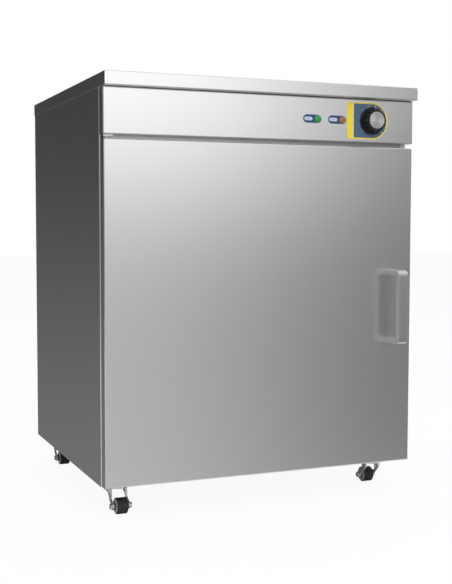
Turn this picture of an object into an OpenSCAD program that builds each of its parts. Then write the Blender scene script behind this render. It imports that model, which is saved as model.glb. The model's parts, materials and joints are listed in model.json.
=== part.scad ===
// Plate warmer cabinet: an insulated hot cupboard for plates, on four swivel casters.
// It stands on z = 0 with its door towards -Y, and x = y = 0 is the middle of its whole outline.

/* [Cabinet] */
// Width over the side panels
body_w = 601; // [520:1:800]
// Depth from the front frame to the back
body_d = 484; // [400:4:640]
// Height of the side panels
body_h = 678.5; // [560:0.5:860]
// Thickness of the outer sheet
sheet_t = 1; // [0.8:0.1:1.5]
// Outside radius of the sheet bends
bend_r = 2; // [1.8:0.1:4]
// Wall thickness from the outer sheet to the chamber
wall_t = 35; // [33:1:50]
// Thickness of the liner sheet
liner_t = 0.8; // [0.6:0.1:1.2]

/* [Worktop] */
// Depth of the worktop's folded edge
worktop_t = 24; // [18:1:45]
// How far the worktop stands out over the door's face
worktop_front = 13.6; // [2:0.2:20]
// How far the worktop stands out over each side panel
worktop_side = 0.6; // [0.2:0.1:5]
// Width of the lip folded in under the worktop's edge
worktop_lip = 28; // [24:1:40]

/* [Control fascia] */
// Height of the control fascia
fascia_h = 79; // [72:1:110]
// Distance of the knob from the cabinet's centre line
knob_x = 211.8; // [170:0.2:230]
// Distance of the green lamp from the cabinet's centre line
lamp_x = 100; // [60:1:110]
// Distance from one lamp to the next
lamp_pitch = 50.5; // [30:0.5:55]

/* [Knob] */
// Radius of the knob's skirt
knob_r = 25; // [20:0.5:28]
// How far the knob stands out from the fascia
knob_h = 19; // [14:0.5:22]
// Radius of the metal cap on the knob
cap_r = 15.3; // [11:0.1:16]
// Radius of the thermostat's spindle
spindle_r = 3; // [2.5:0.1:4]
// Scallops around the knob's grip
scallop_count = 12; // [8:1:14]

/* [Door] */
// Thickness of the door
door_t = 21; // [20:0.5:30]
// Running gap between the door and the front frame
door_gap = 3; // [2.8:0.1:5]
// How far the door's sides stand back from the side panels
door_inset = 0.65; // [0.3:0.05:3]
// Gap between the cabinet's base and the door's lower edge
sill_gap = 2.5; // [2.5:0.1:6]
// Gap between the door's upper edge and the fascia
head_gap = 7.5; // [7.5:0.1:12]
// Distance of the hinge axis from the door's edge and face
pivot_inset = 7.5; // [7:0.1:8]
// Radius of the hinge pins
pin_r = 2.5; // [2:0.1:3]

/* [Handle] */
// Height of the handle
handle_h = 137; // [90:1:220]
// How far the handle stands out from the door
handle_reach = 40; // [32:1:60]
// Width of the handle's bar
handle_w = 20.5; // [14:0.5:26]
// Thickness of the handle's bar
handle_t = 9.3; // [8:0.1:14]
// Distance from the handle's centre to the door's free edge
handle_inset = 41; // [30:1:60]

/* [Shelves] */
// Rod radius of the shelf frames and racks
rod_r = 3; // [2.5:0.1:4]
// Radius of the cross wires on the shelves
wire_r = 1.5; // [1:0.1:2]
// Cross wires on each shelf
wire_count = 17; // [9:2:25]
// Shelf positions on each rack
rack_steps = 6; // [5:1:8]
// Rack position of the lower shelf, counted from the bottom
lower_step = 2; // [1:1:2]
// Rack position of the upper shelf, counted from the bottom
upper_step = 5; // [3:1:5]

/* [Heater] */
// Radius of the heating element's tube
element_r = 4.2; // [3:0.1:5]
// Straight runs of the heating element
element_runs = 6; // [4:2:8]
// Height of the guard over the heating element
guard_h = 42; // [34:1:60]
// Radius of the holes in the guard
guard_hole_r = 6; // [3:0.5:8]
// Distance between the holes in the guard
guard_pitch = 30; // [24:1:50]

/* [Casters] */
// Height of the casters from the floor to the cabinet's base
caster_h = 55; // [52:0.5:75]
// Distance of each swivel axis from the cabinet's sides
caster_inset = 41; // [41:0.5:70]
// Radius of the wheels
wheel_r = 14.3; // [12:0.1:15]
// Width of the wheels
wheel_w = 20; // [14:0.5:22]
// Distance from the swivel axis to the wheel's axle
caster_trail = 22; // [18:0.5:24]
// Radius of the wheel axles
axle_r = 3; // [2:0.1:3.5]

/* [Cable entry] */
// Radius of the cable gland's bore
gland_bore_r = 4.2; // [3:0.1:6]
// How far the gland stands out at the back
gland_reach = 14; // [10:0.5:20]

/* [Hidden] */

round_fn = 48;
seam = 0.3;        // gap between neighbouring pieces that don't press on each other
fit = 0.05;        // radial clearance of a pin in its bore
cut = 1;           // how far a cut runs past the face it opens

// Heights
body_z = caster_h;
body_top = body_z + body_h;
fascia_z = body_top - fascia_h;
fascia_mid = fascia_z + fascia_h / 2;
door_z0 = body_z + sill_gap;
door_z1 = fascia_z - head_gap;
door_h = door_z1 - door_z0;

// Depths, worked out from the whole outline so that its middle is at y = 0
front_proud = handle_reach + door_t + door_gap;
front_y = front_proud - (front_proud + body_d + gland_reach) / 2;
back_y = front_y + body_d;
door_back_y = front_y - door_gap;
face_y = door_back_y - door_t;
inside_y = front_y + sheet_t + seam;
rear_panel_y = back_y - sheet_t - seam;
inside_d = rear_panel_y - sheet_t - seam - inside_y;

// Widths
half_w = body_w / 2;
inside_hw = half_w - sheet_t - seam;
door_w = body_w - 2 * door_inset;
door_x0 = -door_w / 2;
door_x1 = door_w / 2;
side_flange = 12;
base_edge = 26;

// Heated chamber
chamber_hw = half_w - wall_t;
opening_hw = chamber_hw - seam - sheet_t;
opening_z0 = door_z0 + wall_t;
opening_z1 = door_z1 - wall_t;
floor_z = opening_z0 - sheet_t - seam;
ceiling_z = opening_z1 + sheet_t + seam;
frame_return = 20;
liner_y = front_y + frame_return + seam;
liner_back_y = back_y - wall_t;
liner_d = liner_back_y - seam - liner_y;
liner_flange = 12;

// Insulation, clear of the base's folded edges
blanket_hw = inside_hw - bend_r;
blanket_y0 = inside_y + bend_r;
blanket_y1 = rear_panel_y - sheet_t - seam - bend_r;
blanket_z = body_z + sheet_t + seam;
bolt_recess_r = 7;
bolt_recess_h = 12;

// Compartment for the controls, above the chamber
tray_z = ceiling_z + 27;
tray_lip = 15;
vent_columns = 3;
vent_rows = 4;
vent_w = 60;
vent_h = 4;
vent_pitch_x = vent_w + 15;
vent_pitch_z = vent_h + 6;
vent_x = 60;
vent_z = tray_z + 30;

// Door seal
seal_inset = 22;
seal_groove_w = 11;
seal_groove_d = 6;
seal_r = 4;
door_lip = 14;
insulation_inset = 18;
field_inset = 62;
field_d = 3;
field_r = 24;

// Hinge
pivot_x = door_x0 + pivot_inset;
pivot_y = face_y + pivot_inset;
bush_r = pin_r + 1.5;
bush_flange_r = bush_r + 1;
pin_depth = 14;
bracket_t = 3.5;
bracket_w = 18;
bracket_top = fascia_z - 0.5;
bracket_tab = 30;
bracket_nose = 5;
tongue_w = 6;
tongue_t = 2.6;
tongue_nose = 4;
tongue_foot = 26;
pin_head_h = 1.5;

// Handle
handle_x = door_x1 - handle_inset;
handle_z = (door_z0 + door_z1) / 2;
handle_bend = handle_t / 2 + 2;
handle_edge = 1.2;
handle_arm_z = (handle_h - handle_t) / 2;
handle_screw_r = 2.4;
handle_screw_depth = 12;
handle_screw_head_r = 4.5;
handle_screw_head_h = 3;
handle_screw_places = [handle_z - handle_arm_z, handle_z + handle_arm_z];

// Racks and shelves
rack_x = chamber_hw - seam - rod_r;
runner_r = wire_r + 1;
runner_x = rack_x - rod_r - runner_r + 0.5;
shelf_hw = rack_x - 2 * rod_r - seam;
shelf_lift = sqrt(pow(runner_r + rod_r + seam, 2) - pow(runner_x - shelf_hw, 2));
rack_z0 = floor_z + guard_h + 20;
rack_z1 = ceiling_z - liner_flange - 12;
rack_pitch = (rack_z1 - rack_z0) / (rack_steps + 1);
runner_y0 = liner_y + 14;
runner_y1 = liner_back_y - 12;
upright_places = [liner_y + 40, liner_back_y - 50];
stand_off_z = 15;

// Heater
element_z = floor_z + 20;
element_tail_y = liner_back_y + 10;
element_margin = 30;
element_pitch = 2 * (chamber_hw - 70) / (element_runs - 1);
element_bend_r = element_pitch / 2;
element_y0 = liner_y + element_margin + element_bend_r;
element_y1 = liner_back_y - element_margin - element_bend_r;
element_end_x = element_pitch * (element_runs - 1) / 2;
element_ends = [-element_end_x, element_end_x];
guard_hw = chamber_hw - liner_flange - 6;
guard_y0 = liner_y + 8;
guard_y1 = liner_back_y - 8;

// Controls
lamp_places = [lamp_x, lamp_x + lamp_pitch];
lamp_r = 6.7;
lamp_neck_r = 5;
lens_rim = 1.2;
lens_rise = 1.8;
spindle_neck_r = spindle_r + 2;
knob_gap = 0.6;
cap_recess = 1.5;
cap_floor = 5;
thermostat_nut_t = 2;
thermostat_drum_r = 22;
thermostat_drum_t = 12;
thermostat_block = [42, 34, 16];
thermostat_back = face_y + sheet_t + thermostat_nut_t + thermostat_drum_t + thermostat_block.z;
thermostat_tab = [6, 8, 0.8];
thermostat_tab_pitch = 12;
terminal_z = fascia_mid - 8;
spindle_depth = thermostat_nut_t + 8;
block_x = -half_w + 90;
block_y = back_y - 80;
bulb_x = chamber_hw - 2 * rod_r - 2;
bulb_y = liner_back_y - 40;
bulb_z = ceiling_z - liner_flange - 16;
capillary_r = 1;
loom_y = back_y - 20;
lead_r = 2;
lead_chase = 12;
chase_hw = max(-block_x, element_end_x) + lead_chase;
gland_x = block_x;
gland_z = tray_z + 40;
gland_r = gland_bore_r + 3.8;
gland_inner = 16;

// Magnetic catch
catch_x = opening_hw - 60;
catch_z = opening_z1 - 7;
catch_h = 13;
catch_hw = 25;
pole_hw = 20;
keeper_hw = 22;
keeper_t = 1.2;

// Casters
plate_side = 46;
plate_t = 2.5;
bolt_pitch = 34;
bolt_r = 2.5;
kingpin_r = 4;
race_r = 17;
race_h = 7.2;
race_rim_r = 1.8;
fork_t = 2.5;
leg_gap = 3.5;
fork_w = wheel_w + 2 * (leg_gap + fork_t);
fork_bend_r = fork_t + 1.5;
crown_z = body_z - plate_t - race_h - seam;
crown_r = 17.4;
leg_back = 3;
leg_front = 10;
leg_end_r = 6.5;
leg_neck = 5.2;    // from the axle to each edge of the leg above it
leg_rise = 28;     // slope of the leg's upper edge on its way to the axle
leg_sweep = 43;    // lean of the leg's lower edge
leg_flange_w = 4;
front_knee_z = wheel_r + (leg_neck + sin(leg_rise) * (caster_trail - leg_front)) / cos(leg_rise);
back_knee_z = wheel_r + (cos(leg_sweep) * (caster_trail + leg_back) - leg_neck) / sin(leg_sweep);

// Each caster's side in x, its side in y, and the angle it stands at
front_left = [-1, -1, 0];
front_right = [1, -1, 180];
rear_left = [-1, 1, 0];
rear_right = [1, 1, 180];
casters = [front_left, front_right, rear_left, rear_right];

// ---------- shared shapes ----------

// Box between two corners
module box(low, high) {
    translate(low) cube(high - low);
}

// Cylinder that starts at a point and runs along +Y
module rod_y(from, r, length) {
    translate(from) rotate([-90, 0, 0]) cylinder(r = r, h = length, $fn = round_fn);
}

// Cylinder that starts at a point and runs along +X
module rod_x(from, r, length) {
    translate(from) rotate([0, 90, 0]) cylinder(r = r, h = length, $fn = round_fn);
}

// Cylinder that starts at a point and runs along +Z
module rod_z(from, r, length) {
    translate(from) cylinder(r = r, h = length, $fn = round_fn);
}

// Rectangle whose two upper corners are arcs
module crown_profile(w, h, r) {
    square([w, h - r]);
    translate([r, 0]) square([w - 2 * r, h]);
    for (x = [r, w - r]) translate([x, h - r]) circle(r, $fn = round_fn);
}

// Rectangle centred on the origin, with arcs on all four corners
module rounded_rect(w, h, r) {
    square([w - 2 * r, h], center = true);
    square([w, h - 2 * r], center = true);
    for (x = [-1, 1], y = [-1, 1]) translate([x * (w / 2 - r), y * (h / 2 - r)]) circle(r, $fn = round_fn);
}

// Folded channel seen from its end: web on top, legs down, arcs at both bends
module channel_profile(w, leg, t, r) {
    difference() {
        crown_profile(w, leg, r);
        translate([t, -cut]) crown_profile(w - 2 * t, leg - t + cut, r - t);
    }
}

// Block whose four upper edges are rounded
module crowned_block(size, r) {
    intersection() {
        translate([0, size.y, 0]) rotate([90, 0, 0]) linear_extrude(size.y) crown_profile(size.x, size.z, r);
        rotate([90, 0, 90]) linear_extrude(size.x) crown_profile(size.y, size.z, r);
    }
}

// Block whose edges along x and y are rounded, above and below
module eased_block(size, r) {
    intersection() {
        translate([size.x / 2, size.y, size.z / 2]) rotate([90, 0, 0])
            linear_extrude(size.y) rounded_rect(size.x, size.z, r);
        translate([0, size.y / 2, size.z / 2]) rotate([90, 0, 90])
            linear_extrude(size.x) rounded_rect(size.y, size.z, r);
    }
}

// Folded sheet pan, open below
module open_pan(size, t, r) {
    difference() {
        crowned_block(size, r);
        translate([t, t, -cut]) crowned_block([size.x - 2 * t, size.y - 2 * t, size.z - t + cut], r - t);
    }
}

// Folded sheet pan with a lip turned in around its open lower side
module lipped_pan(size, t, r, lip) {
    difference() {
        eased_block(size, r);
        translate([t, t, t]) eased_block([size.x - 2 * t, size.y - 2 * t, size.z - 2 * t], r - t);
        translate([lip, lip, -cut]) cube([size.x - 2 * lip, size.y - 2 * lip, t + 2 * cut]);
    }
}

// Lipped pan with its face towards -Y; the low corner is at its open back
module front_pan(low, w, h, depth, t, r, lip) {
    translate(low) rotate([90, 0, 0]) lipped_pan([w, h, depth], t, r, lip);
}

// Round wire through a list of points, with a ball at each corner
module wire(points, r) {
    for (i = [0 : len(points) - 2]) {
        step = points[i + 1] - points[i];
        length = norm(step);
        translate(points[i])
            rotate([0, acos(step.z / length), atan2(step.y, step.x)])
                cylinder(r = r, h = length, $fn = round_fn);
    }
    for (i = [1 : len(points) - 2]) translate(points[i]) sphere(r, $fn = round_fn);
}

// Quarter of a ring in the XY plane, from +X round to +Y
module ring_quarter(bend, r) {
    rotate_extrude(angle = 90, $fn = round_fn) translate([bend, 0]) circle(r, $fn = round_fn);
}

// Rectangular hoop of round rod in the XY plane, centred on the origin
module rod_hoop(w, d, bend, r) {
    for (y = [-1, 1]) rod_x([bend - w / 2, y * d / 2, 0], r, w - 2 * bend);
    for (x = [-1, 1]) rod_y([x * w / 2, bend - d / 2, 0], r, d - 2 * bend);
    for (x = [0, 1], y = [0, 1])
        mirror([x, 0, 0]) mirror([0, y, 0]) translate([w / 2 - bend, d / 2 - bend, 0]) ring_quarter(bend, r);
}

// Channel that runs along +Y, web on top
module channel_y(low, w, leg, length, t, r) {
    translate([low.x, low.y + length, low.z]) rotate([90, 0, 0])
        linear_extrude(length) channel_profile(w, leg, t, r);
}

// Channel that runs along +Y, web underneath
module trough_y(low, w, leg, length, t, r) {
    translate([0, 0, 2 * low.z + leg]) mirror([0, 0, 1]) channel_y(low, w, leg, length, t, r);
}

// ---------- cabinet shell ----------

module worktop() {
    front = face_y - worktop_front;
    w = body_w + 2 * worktop_side;
    color("lightgray")
        translate([-w / 2, front, body_top])
            lipped_pan([w, back_y - front, worktop_t], sheet_t, bend_r, worktop_lip);
}

// Side panel: sheet folded in at the front and the back, with a lip along its top
module side_panel(side) {
    mirror([side > 0 ? 1 : 0, 0, 0]) color("silver") {
        translate([side_flange - half_w, front_y, body_z])
            rotate([0, 0, 90]) linear_extrude(body_h) channel_profile(body_d, side_flange, sheet_t, bend_r);
        box([sheet_t - half_w, front_y + sheet_t, body_top - sheet_t],
            [side_flange - half_w, back_y - sheet_t, body_top]);
    }
}

module side_panel_left() {
    side_panel(-1);
}

module side_panel_right() {
    side_panel(1);
}

// Back sheet inside the side panels' flanges, with vent slots for the control compartment
module rear_panel() {
    front = rear_panel_y - sheet_t;
    color("silver") difference() {
        box([-inside_hw, front, body_z], [inside_hw, rear_panel_y, body_top - sheet_t - seam]);
        for (column = [0 : vent_columns - 1], row = [0 : vent_rows - 1])
            translate([vent_x + column * vent_pitch_x, front - cut, vent_z + row * vent_pitch_z])
                cube([vent_w, sheet_t + 2 * cut, vent_h]);
        rod_y([gland_x, front - cut, gland_z], gland_r, sheet_t + 2 * cut);
    }
}

// Base sheet with its edges folded up between the side panels
module base_pan() {
    color("darkgray") difference() {
        translate([-inside_hw, inside_y, body_z + base_edge]) mirror([0, 0, 1])
            open_pan([2 * inside_hw, inside_d, base_edge], sheet_t, bend_r);
        at_caster_bolts() rod_z([0, 0, body_z - cut], bolt_r + fit, sheet_t + 2 * cut);
    }
}

// Frame round the door opening, folded back into the chamber
module front_frame() {
    w = half_w - side_flange - seam;
    color("silver") difference() {
        union() {
            box([-w, front_y, body_z + seam], [w, front_y + sheet_t, fascia_z + 12]);
            box([-opening_hw - sheet_t, front_y, opening_z0 - sheet_t],
                [opening_hw + sheet_t, front_y + frame_return, opening_z1 + sheet_t]);
        }
        box([-opening_hw, front_y - cut, opening_z0], [opening_hw, front_y + frame_return + cut, opening_z1]);
    }
}

// ---------- chamber liner ----------

module liner_side(side) {
    mirror([side > 0 ? 1 : 0, 0, 0]) color("gainsboro")
        box([-chamber_hw - liner_t, liner_y, floor_z - liner_t],
            [-chamber_hw, liner_back_y + liner_t, ceiling_z + liner_t]);
}

module liner_left() {
    liner_side(-1);
}

module liner_right() {
    liner_side(1);
}

module liner_back() {
    w = chamber_hw - seam;
    color("gainsboro") difference() {
        box([-w, liner_back_y, floor_z - liner_t], [w, liner_back_y + liner_t, ceiling_z + liner_t]);
        for (x = element_ends) rod_y([x, liner_back_y - cut, element_z], element_r + fit, liner_t + 2 * cut);
    }
}

// Floor of the chamber, with its sides folded up
module liner_floor() {
    w = 2 * (chamber_hw - seam);
    color("gainsboro")
        trough_y([-w / 2, liner_y, floor_z - liner_t], w, liner_flange, liner_d, liner_t, bend_r);
}

// Ceiling of the chamber, with its sides folded down
module liner_ceiling() {
    w = 2 * (chamber_hw - seam);
    low_z = ceiling_z + liner_t - liner_flange;
    color("gainsboro") difference() {
        channel_y([-w / 2, liner_y, low_z], w, liner_flange, liner_d, liner_t, bend_r);
        rod_z([bulb_x, bulb_y, ceiling_z - cut], capillary_r + seam, liner_t + 2 * cut);
    }
}

// ---------- insulation ----------

// Blanket wrapped round the left, back and right of the chamber, with a chase for the heater's leads
module insulation_wrap() {
    inner_hw = chamber_hw + liner_t + seam;
    inner_y = liner_back_y + liner_t + seam;
    chase_z = element_z - lead_chase;
    color("khaki") difference() {
        box([-blanket_hw, blanket_y0, blanket_z], [blanket_hw, blanket_y1, tray_z - seam]);
        box([-inner_hw, blanket_y0 - cut, blanket_z - cut], [inner_hw, inner_y, tray_z + cut]);
        box([block_x - lead_chase, inner_y - cut, chase_z], [block_x + lead_chase, back_y, tray_z + cut]);
        box([-chase_hw, inner_y - cut, chase_z], [chase_hw, back_y, element_z + lead_chase]);
        bolt_recesses();
    }
}

module insulation_top() {
    w = chamber_hw - seam;
    color("khaki") difference() {
        box([-w, blanket_y0, ceiling_z + liner_t + seam], [w, liner_back_y, tray_z - seam]);
        rod_z([bulb_x, bulb_y, ceiling_z], 2 * capillary_r, tray_z - ceiling_z);
    }
}

module insulation_floor() {
    w = chamber_hw - seam;
    color("khaki") difference() {
        box([-w, blanket_y0, blanket_z], [w, liner_back_y, floor_z - liner_t - seam]);
        bolt_recesses();
    }
}

// Recesses over the caster bolts
module bolt_recesses() {
    at_caster_bolts() rod_z([0, 0, body_z], bolt_recess_r, bolt_recess_h);
}

// ---------- controls ----------

// Fascia: pan with its face flush with the door, drilled for the knob's spindle and the lamps
module control_fascia() {
    back = front_y - seam;
    h = fascia_h - seam;
    tab_x1 = bracket_w + seam - half_w;
    color("silver") difference() {
        front_pan([-half_w, back, fascia_z], body_w, h, back - face_y, sheet_t, bend_r, side_flange);
        rod_y([knob_x, face_y - cut, fascia_mid], spindle_neck_r + seam, sheet_t + 2 * cut);
        for (x = lamp_places) rod_y([x, face_y - cut, fascia_mid], lamp_neck_r + fit, sheet_t + 2 * cut);
        box([sheet_t - half_w, back - bracket_t - seam, fascia_z - cut],
            [tab_x1, back + cut, fascia_z + bracket_tab + seam]);
    }
}

// Sheet over the chamber's insulation that carries the controls' wiring
module control_tray() {
    color("darkgray") difference() {
        trough_y([-inside_hw, inside_y, tray_z], 2 * inside_hw, tray_lip, inside_d, sheet_t, bend_r);
        rod_z([bulb_x, bulb_y, tray_z - cut], capillary_r + seam, sheet_t + 2 * cut);
        box([block_x - 8, loom_y - 8, tray_z - cut], [block_x + 8, loom_y + 8, tray_z + sheet_t + cut]);
    }
}

// Thermostat: a threaded neck held in the fascia, a round housing and a switch block behind it
module thermostat_body() {
    back = face_y + sheet_t;
    nut_r = 9;
    neck_front = face_y - knob_gap + fit;
    tab_x = knob_x - thermostat_tab.x / 2;
    color("dimgray") difference() {
        union() {
            rod_y([knob_x, neck_front, fascia_mid], spindle_neck_r, back - neck_front + thermostat_nut_t);
            rod_y([knob_x, back, fascia_mid], nut_r, thermostat_nut_t);
            rod_y([knob_x, back + thermostat_nut_t, fascia_mid], thermostat_drum_r, thermostat_drum_t);
            translate([knob_x, thermostat_back - thermostat_block.z, fascia_mid]) rotate([-90, 0, 0])
                linear_extrude(thermostat_block.z) rounded_rect(thermostat_block.x, thermostat_block.y, 4);
            for (i = [-1, 0, 1])
                translate([tab_x + i * thermostat_tab_pitch, thermostat_back, terminal_z])
                    cube(thermostat_tab);
        }
        rod_y([knob_x, face_y - cut, fascia_mid], spindle_r + fit, spindle_depth + 2 * cut);
    }
}

// Sensing bulb under the chamber's ceiling, with the capillary up to the thermostat
module thermostat_bulb() {
    start = [knob_x, thermostat_back, fascia_mid + 12];
    bend_y = start.y + 30;
    run_z = tray_z + 22;
    stem = 20;
    bulb_r = 3;
    bulb_len = 80;
    clip = [bulb_r + 1, 6, 1];
    middle = [bulb_x, bulb_y - stem - bulb_len / 2, bulb_z];
    color("peru") {
        wire([
            start,
            [start.x, bend_y, start.z],
            [start.x, bend_y, run_z],
            [bulb_x, bend_y, run_z],
            [bulb_x, bulb_y, run_z],
            [bulb_x, bulb_y, bulb_z],
            [bulb_x, bulb_y - stem, bulb_z],
        ], capillary_r);
        rod_y(middle - [0, bulb_len / 2, 0], bulb_r, bulb_len);
        box(middle - clip, [chamber_hw - fit, middle.y + clip.y, bulb_z + clip.z]);
    }
}

// Manual-reset thermal cut-out on the tray: flanged cup, body, reset button and two blades
module thermal_cutout() {
    place = [knob_x - 70, front_y + 120, tray_z + sheet_t];
    cup_r = 12;
    cup_h = 6;
    body_h = 8;
    button_r = 2;
    blade = [3, 0.8, 12];
    color("ivory") {
        rod_z(place, cup_r, cup_h);
        rod_z(place + [0, 0, cup_h], cup_r - 3, body_h);
        rod_z(place + [0, 0, cup_h + body_h], button_r, button_r);
        for (x = [-cup_r + 1, cup_r - 1])
            translate(place + [x - blade.x / 2, -blade.y / 2, cup_h - 1]) cube(blade);
    }
}

// Terminal block on the tray, with a row of wells for its screws
module terminal_block() {
    poles = 5;
    pole = [10, 22, 8];
    crest_d = 12;
    screw_r = 2.5;
    low = [block_x - poles * pole.x / 2, block_y - pole.y / 2, tray_z + sheet_t];
    color("whitesmoke") difference() {
        union() {
            translate(low) cube([poles * pole.x, pole.y, pole.z]);
            translate(low + [0, (pole.y - crest_d) / 2, pole.z]) cube([poles * pole.x, crest_d, pole.z]);
        }
        for (i = [0 : poles - 1]) {
            x = low.x + (i + 0.5) * pole.x;
            rod_z([x, block_y, low.z + pole.z], screw_r, pole.z + cut);
            rod_y([x, low.y - cut, low.z + pole.z / 2], screw_r - 0.3, pole.y + 2 * cut);
        }
    }
}

// Leads from the terminal block to the thermostat, the cut-out and the lamps, and down to the heater
module wiring_loom() {
    z = tray_z + sheet_t + 4;
    lead_y = thermostat_back + thermostat_tab.y + lead_r + seam;
    front_run = front_y + 70;
    color("black") {
        wire([
            [block_x - 10, block_y - 11, z],
            [block_x - 10, front_run, z],
            [knob_x - thermostat_tab_pitch, front_run, z],
            [knob_x - thermostat_tab_pitch, lead_y, z],
            [knob_x - thermostat_tab_pitch, lead_y, terminal_z],
        ], lead_r);
        wire([
            [block_x + 10, block_y + 11, z],
            [block_x + 10, back_y - 50, z],
            [block_x, back_y - 50, z],
            [block_x, loom_y, z],
            [block_x, loom_y, element_z],
            [element_end_x, loom_y, element_z],
            [element_end_x, element_tail_y, element_z],
        ], lead_r);
        wire([
            [block_x, loom_y, element_z],
            [-element_end_x, loom_y, element_z],
            [-element_end_x, element_tail_y, element_z],
        ], lead_r);
    }
}

// Lamp behind each lens: clip ring, barrel and two blade terminals
module lamp_bodies() {
    ring_t = 2;
    barrel_len = 18;
    blade = [0.8, 8, 4.8];
    front = face_y + sheet_t;
    back = front + ring_t + barrel_len;
    color("white") for (x = lamp_places) {
        rod_y([x, front, fascia_mid], lamp_r + 0.8, ring_t);
        rod_y([x, front + ring_t, fascia_mid], lamp_r - 0.9, barrel_len);
        for (side = [-3, 3]) translate([x + side - blade.x / 2, back, fascia_mid - blade.z / 2]) cube(blade);
    }
}

// Lamp lens: low dome in front of the fascia with a neck through it
module lamp_lens(x) {
    dome_r = (lamp_r * lamp_r + lens_rise * lens_rise) / (2 * lens_rise);
    translate([x, face_y, fascia_mid]) rotate([90, 0, 0]) {
        translate([0, 0, -sheet_t]) cylinder(r = lamp_neck_r, h = sheet_t, $fn = round_fn);
        rotate_extrude($fn = round_fn) intersection() {
            square([lamp_r, lens_rim + lens_rise]);
            translate([0, lens_rim + lens_rise - dome_r]) circle(dome_r, $fn = 2 * round_fn);
        }
    }
}

module lamp_lens_green() {
    color("limegreen") lamp_lens(lamp_x);
}

module lamp_lens_amber() {
    color("darkorange") lamp_lens(lamp_x + lamp_pitch);
}

// ---------- heater ----------

// Serpentine of steel tube; both ends leave through the liner's back in a collar
module heating_element() {
    collar_r = 9;
    collar_t = 4;
    color("dimgray") {
        for (run = [0 : element_runs - 1]) {
            x = run * element_pitch - element_end_x;
            last = run == 0 || run == element_runs - 1;
            end_y = last ? element_tail_y : element_y1;
            rod_y([x, element_y0, element_z], element_r, end_y - element_y0);
            if (last) rod_y([x, liner_back_y - collar_t - fit, element_z], collar_r, collar_t);
        }
        for (run = [0 : 2 : element_runs - 2])
            translate([run * element_pitch - element_end_x + element_bend_r, element_y0, element_z])
                rotate([0, 0, 180]) element_bend();
        for (run = [1 : 2 : element_runs - 3])
            translate([run * element_pitch - element_end_x + element_bend_r, element_y1, element_z])
                element_bend();
    }
}

// Half turn that joins two runs
module element_bend() {
    rotate_extrude(angle = 180, $fn = round_fn)
        translate([element_bend_r, 0]) circle(element_r, $fn = round_fn);
}

// Perforated guard over the element; plates stand on it
module heater_guard() {
    length = guard_y1 - guard_y0;
    columns = floor((2 * guard_hw - 40) / guard_pitch);
    rows = floor((length - 40) / guard_pitch);
    color("silver") difference() {
        channel_y([-guard_hw, guard_y0, floor_z], 2 * guard_hw, guard_h, length, liner_t, bend_r);
        translate([0, (guard_y0 + guard_y1) / 2, floor_z + guard_h - liner_t - cut])
            linear_extrude(liner_t + 2 * cut)
                for (column = [-columns / 2 : columns / 2], row = [-rows / 2 : rows / 2])
                    translate([column, row] * guard_pitch) circle(guard_hole_r, $fn = 24);
    }
}

// ---------- racks and shelves ----------

// Welded rod rack: two uprights with stand-offs, and a runner at each shelf position
module rack(side) {
    mirror([side > 0 ? 1 : 0, 0, 0]) color("lightgray") {
        for (y = upright_places) {
            rod_z([-rack_x, y, rack_z0], rod_r, rack_z1 - rack_z0);
            for (z = [rack_z0 + stand_off_z, rack_z1 - stand_off_z])
                rod_x([-chamber_hw, y, z], rod_r - 0.5, rod_r);
        }
        for (step = [1 : rack_steps]) {
            z = rack_z0 + step * rack_pitch;
            rod_y([-runner_x, runner_y0, z], runner_r, runner_y1 - runner_y0);
        }
    }
}

module rack_left() {
    rack(-1);
}

module rack_right() {
    rack(1);
}

// Wire shelf: rod hoop with cross wires welded across it, resting on a pair of runners
module wire_shelf(step) {
    w = 2 * shelf_hw;
    d = runner_y1 - runner_y0 - 30;
    corner_r = 10;
    z = rack_z0 + step * rack_pitch + shelf_lift;
    pitch = (w - 4 * rod_r) / (wire_count + 1);
    color("lightgray") translate([0, (runner_y0 + runner_y1) / 2, z]) {
        rod_hoop(w, d, corner_r, rod_r);
        for (i = [1 : wire_count]) rod_y([i * pitch - w / 2 + 2 * rod_r, -d / 2, rod_r - wire_r], wire_r, d);
        rod_x([-w / 2, 0, -wire_r], wire_r + 0.5, w);
    }
}

module shelf_upper() {
    wire_shelf(upper_step);
}

module shelf_lower() {
    wire_shelf(lower_step);
}

// ---------- cable entry ----------

// Cable gland: hexagon and dome outside, thread and locknut inside; the bore takes the supply cable
module cable_gland() {
    outer = back_y - rear_panel_y + gland_reach;
    inner = sheet_t + gland_inner;
    hex_h = 5;
    nut_h = 4;
    color("dimgray") translate([gland_x, rear_panel_y, gland_z]) rotate([-90, 0, 0]) difference() {
        union() {
            rod_z([0, 0, -inner], gland_r - fit, inner);
            cylinder(r = gland_r + 3, h = hex_h, $fn = 6);
            translate([0, 0, hex_h])
                cylinder(r1 = gland_r + 1, r2 = gland_r - 1.5, h = outer - hex_h, $fn = round_fn);
            translate([0, 0, -sheet_t - nut_h]) cylinder(r = gland_r + 3, h = nut_h, $fn = 6);
        }
        rod_z([0, 0, -inner - cut], gland_bore_r, inner + outer + 2 * cut);
    }
}

// ---------- hinge ----------

// Top bracket: plate in the gap over the door, with a tab turned up behind the fascia
module hinge_bracket_top() {
    x0 = sheet_t + seam - half_w;
    x1 = bracket_w - half_w;
    tab_y = front_y - seam;
    color("gray") difference() {
        union() {
            box([x0, pivot_y - bracket_nose, bracket_top - bracket_t], [x1, tab_y, bracket_top]);
            box([x0, tab_y - bracket_t, bracket_top - bracket_t], [x1, tab_y, fascia_z + bracket_tab]);
        }
        rod_z([pivot_x, pivot_y, bracket_top - bracket_t - cut], pin_r + fit, bracket_t + 2 * cut);
    }
}

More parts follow.
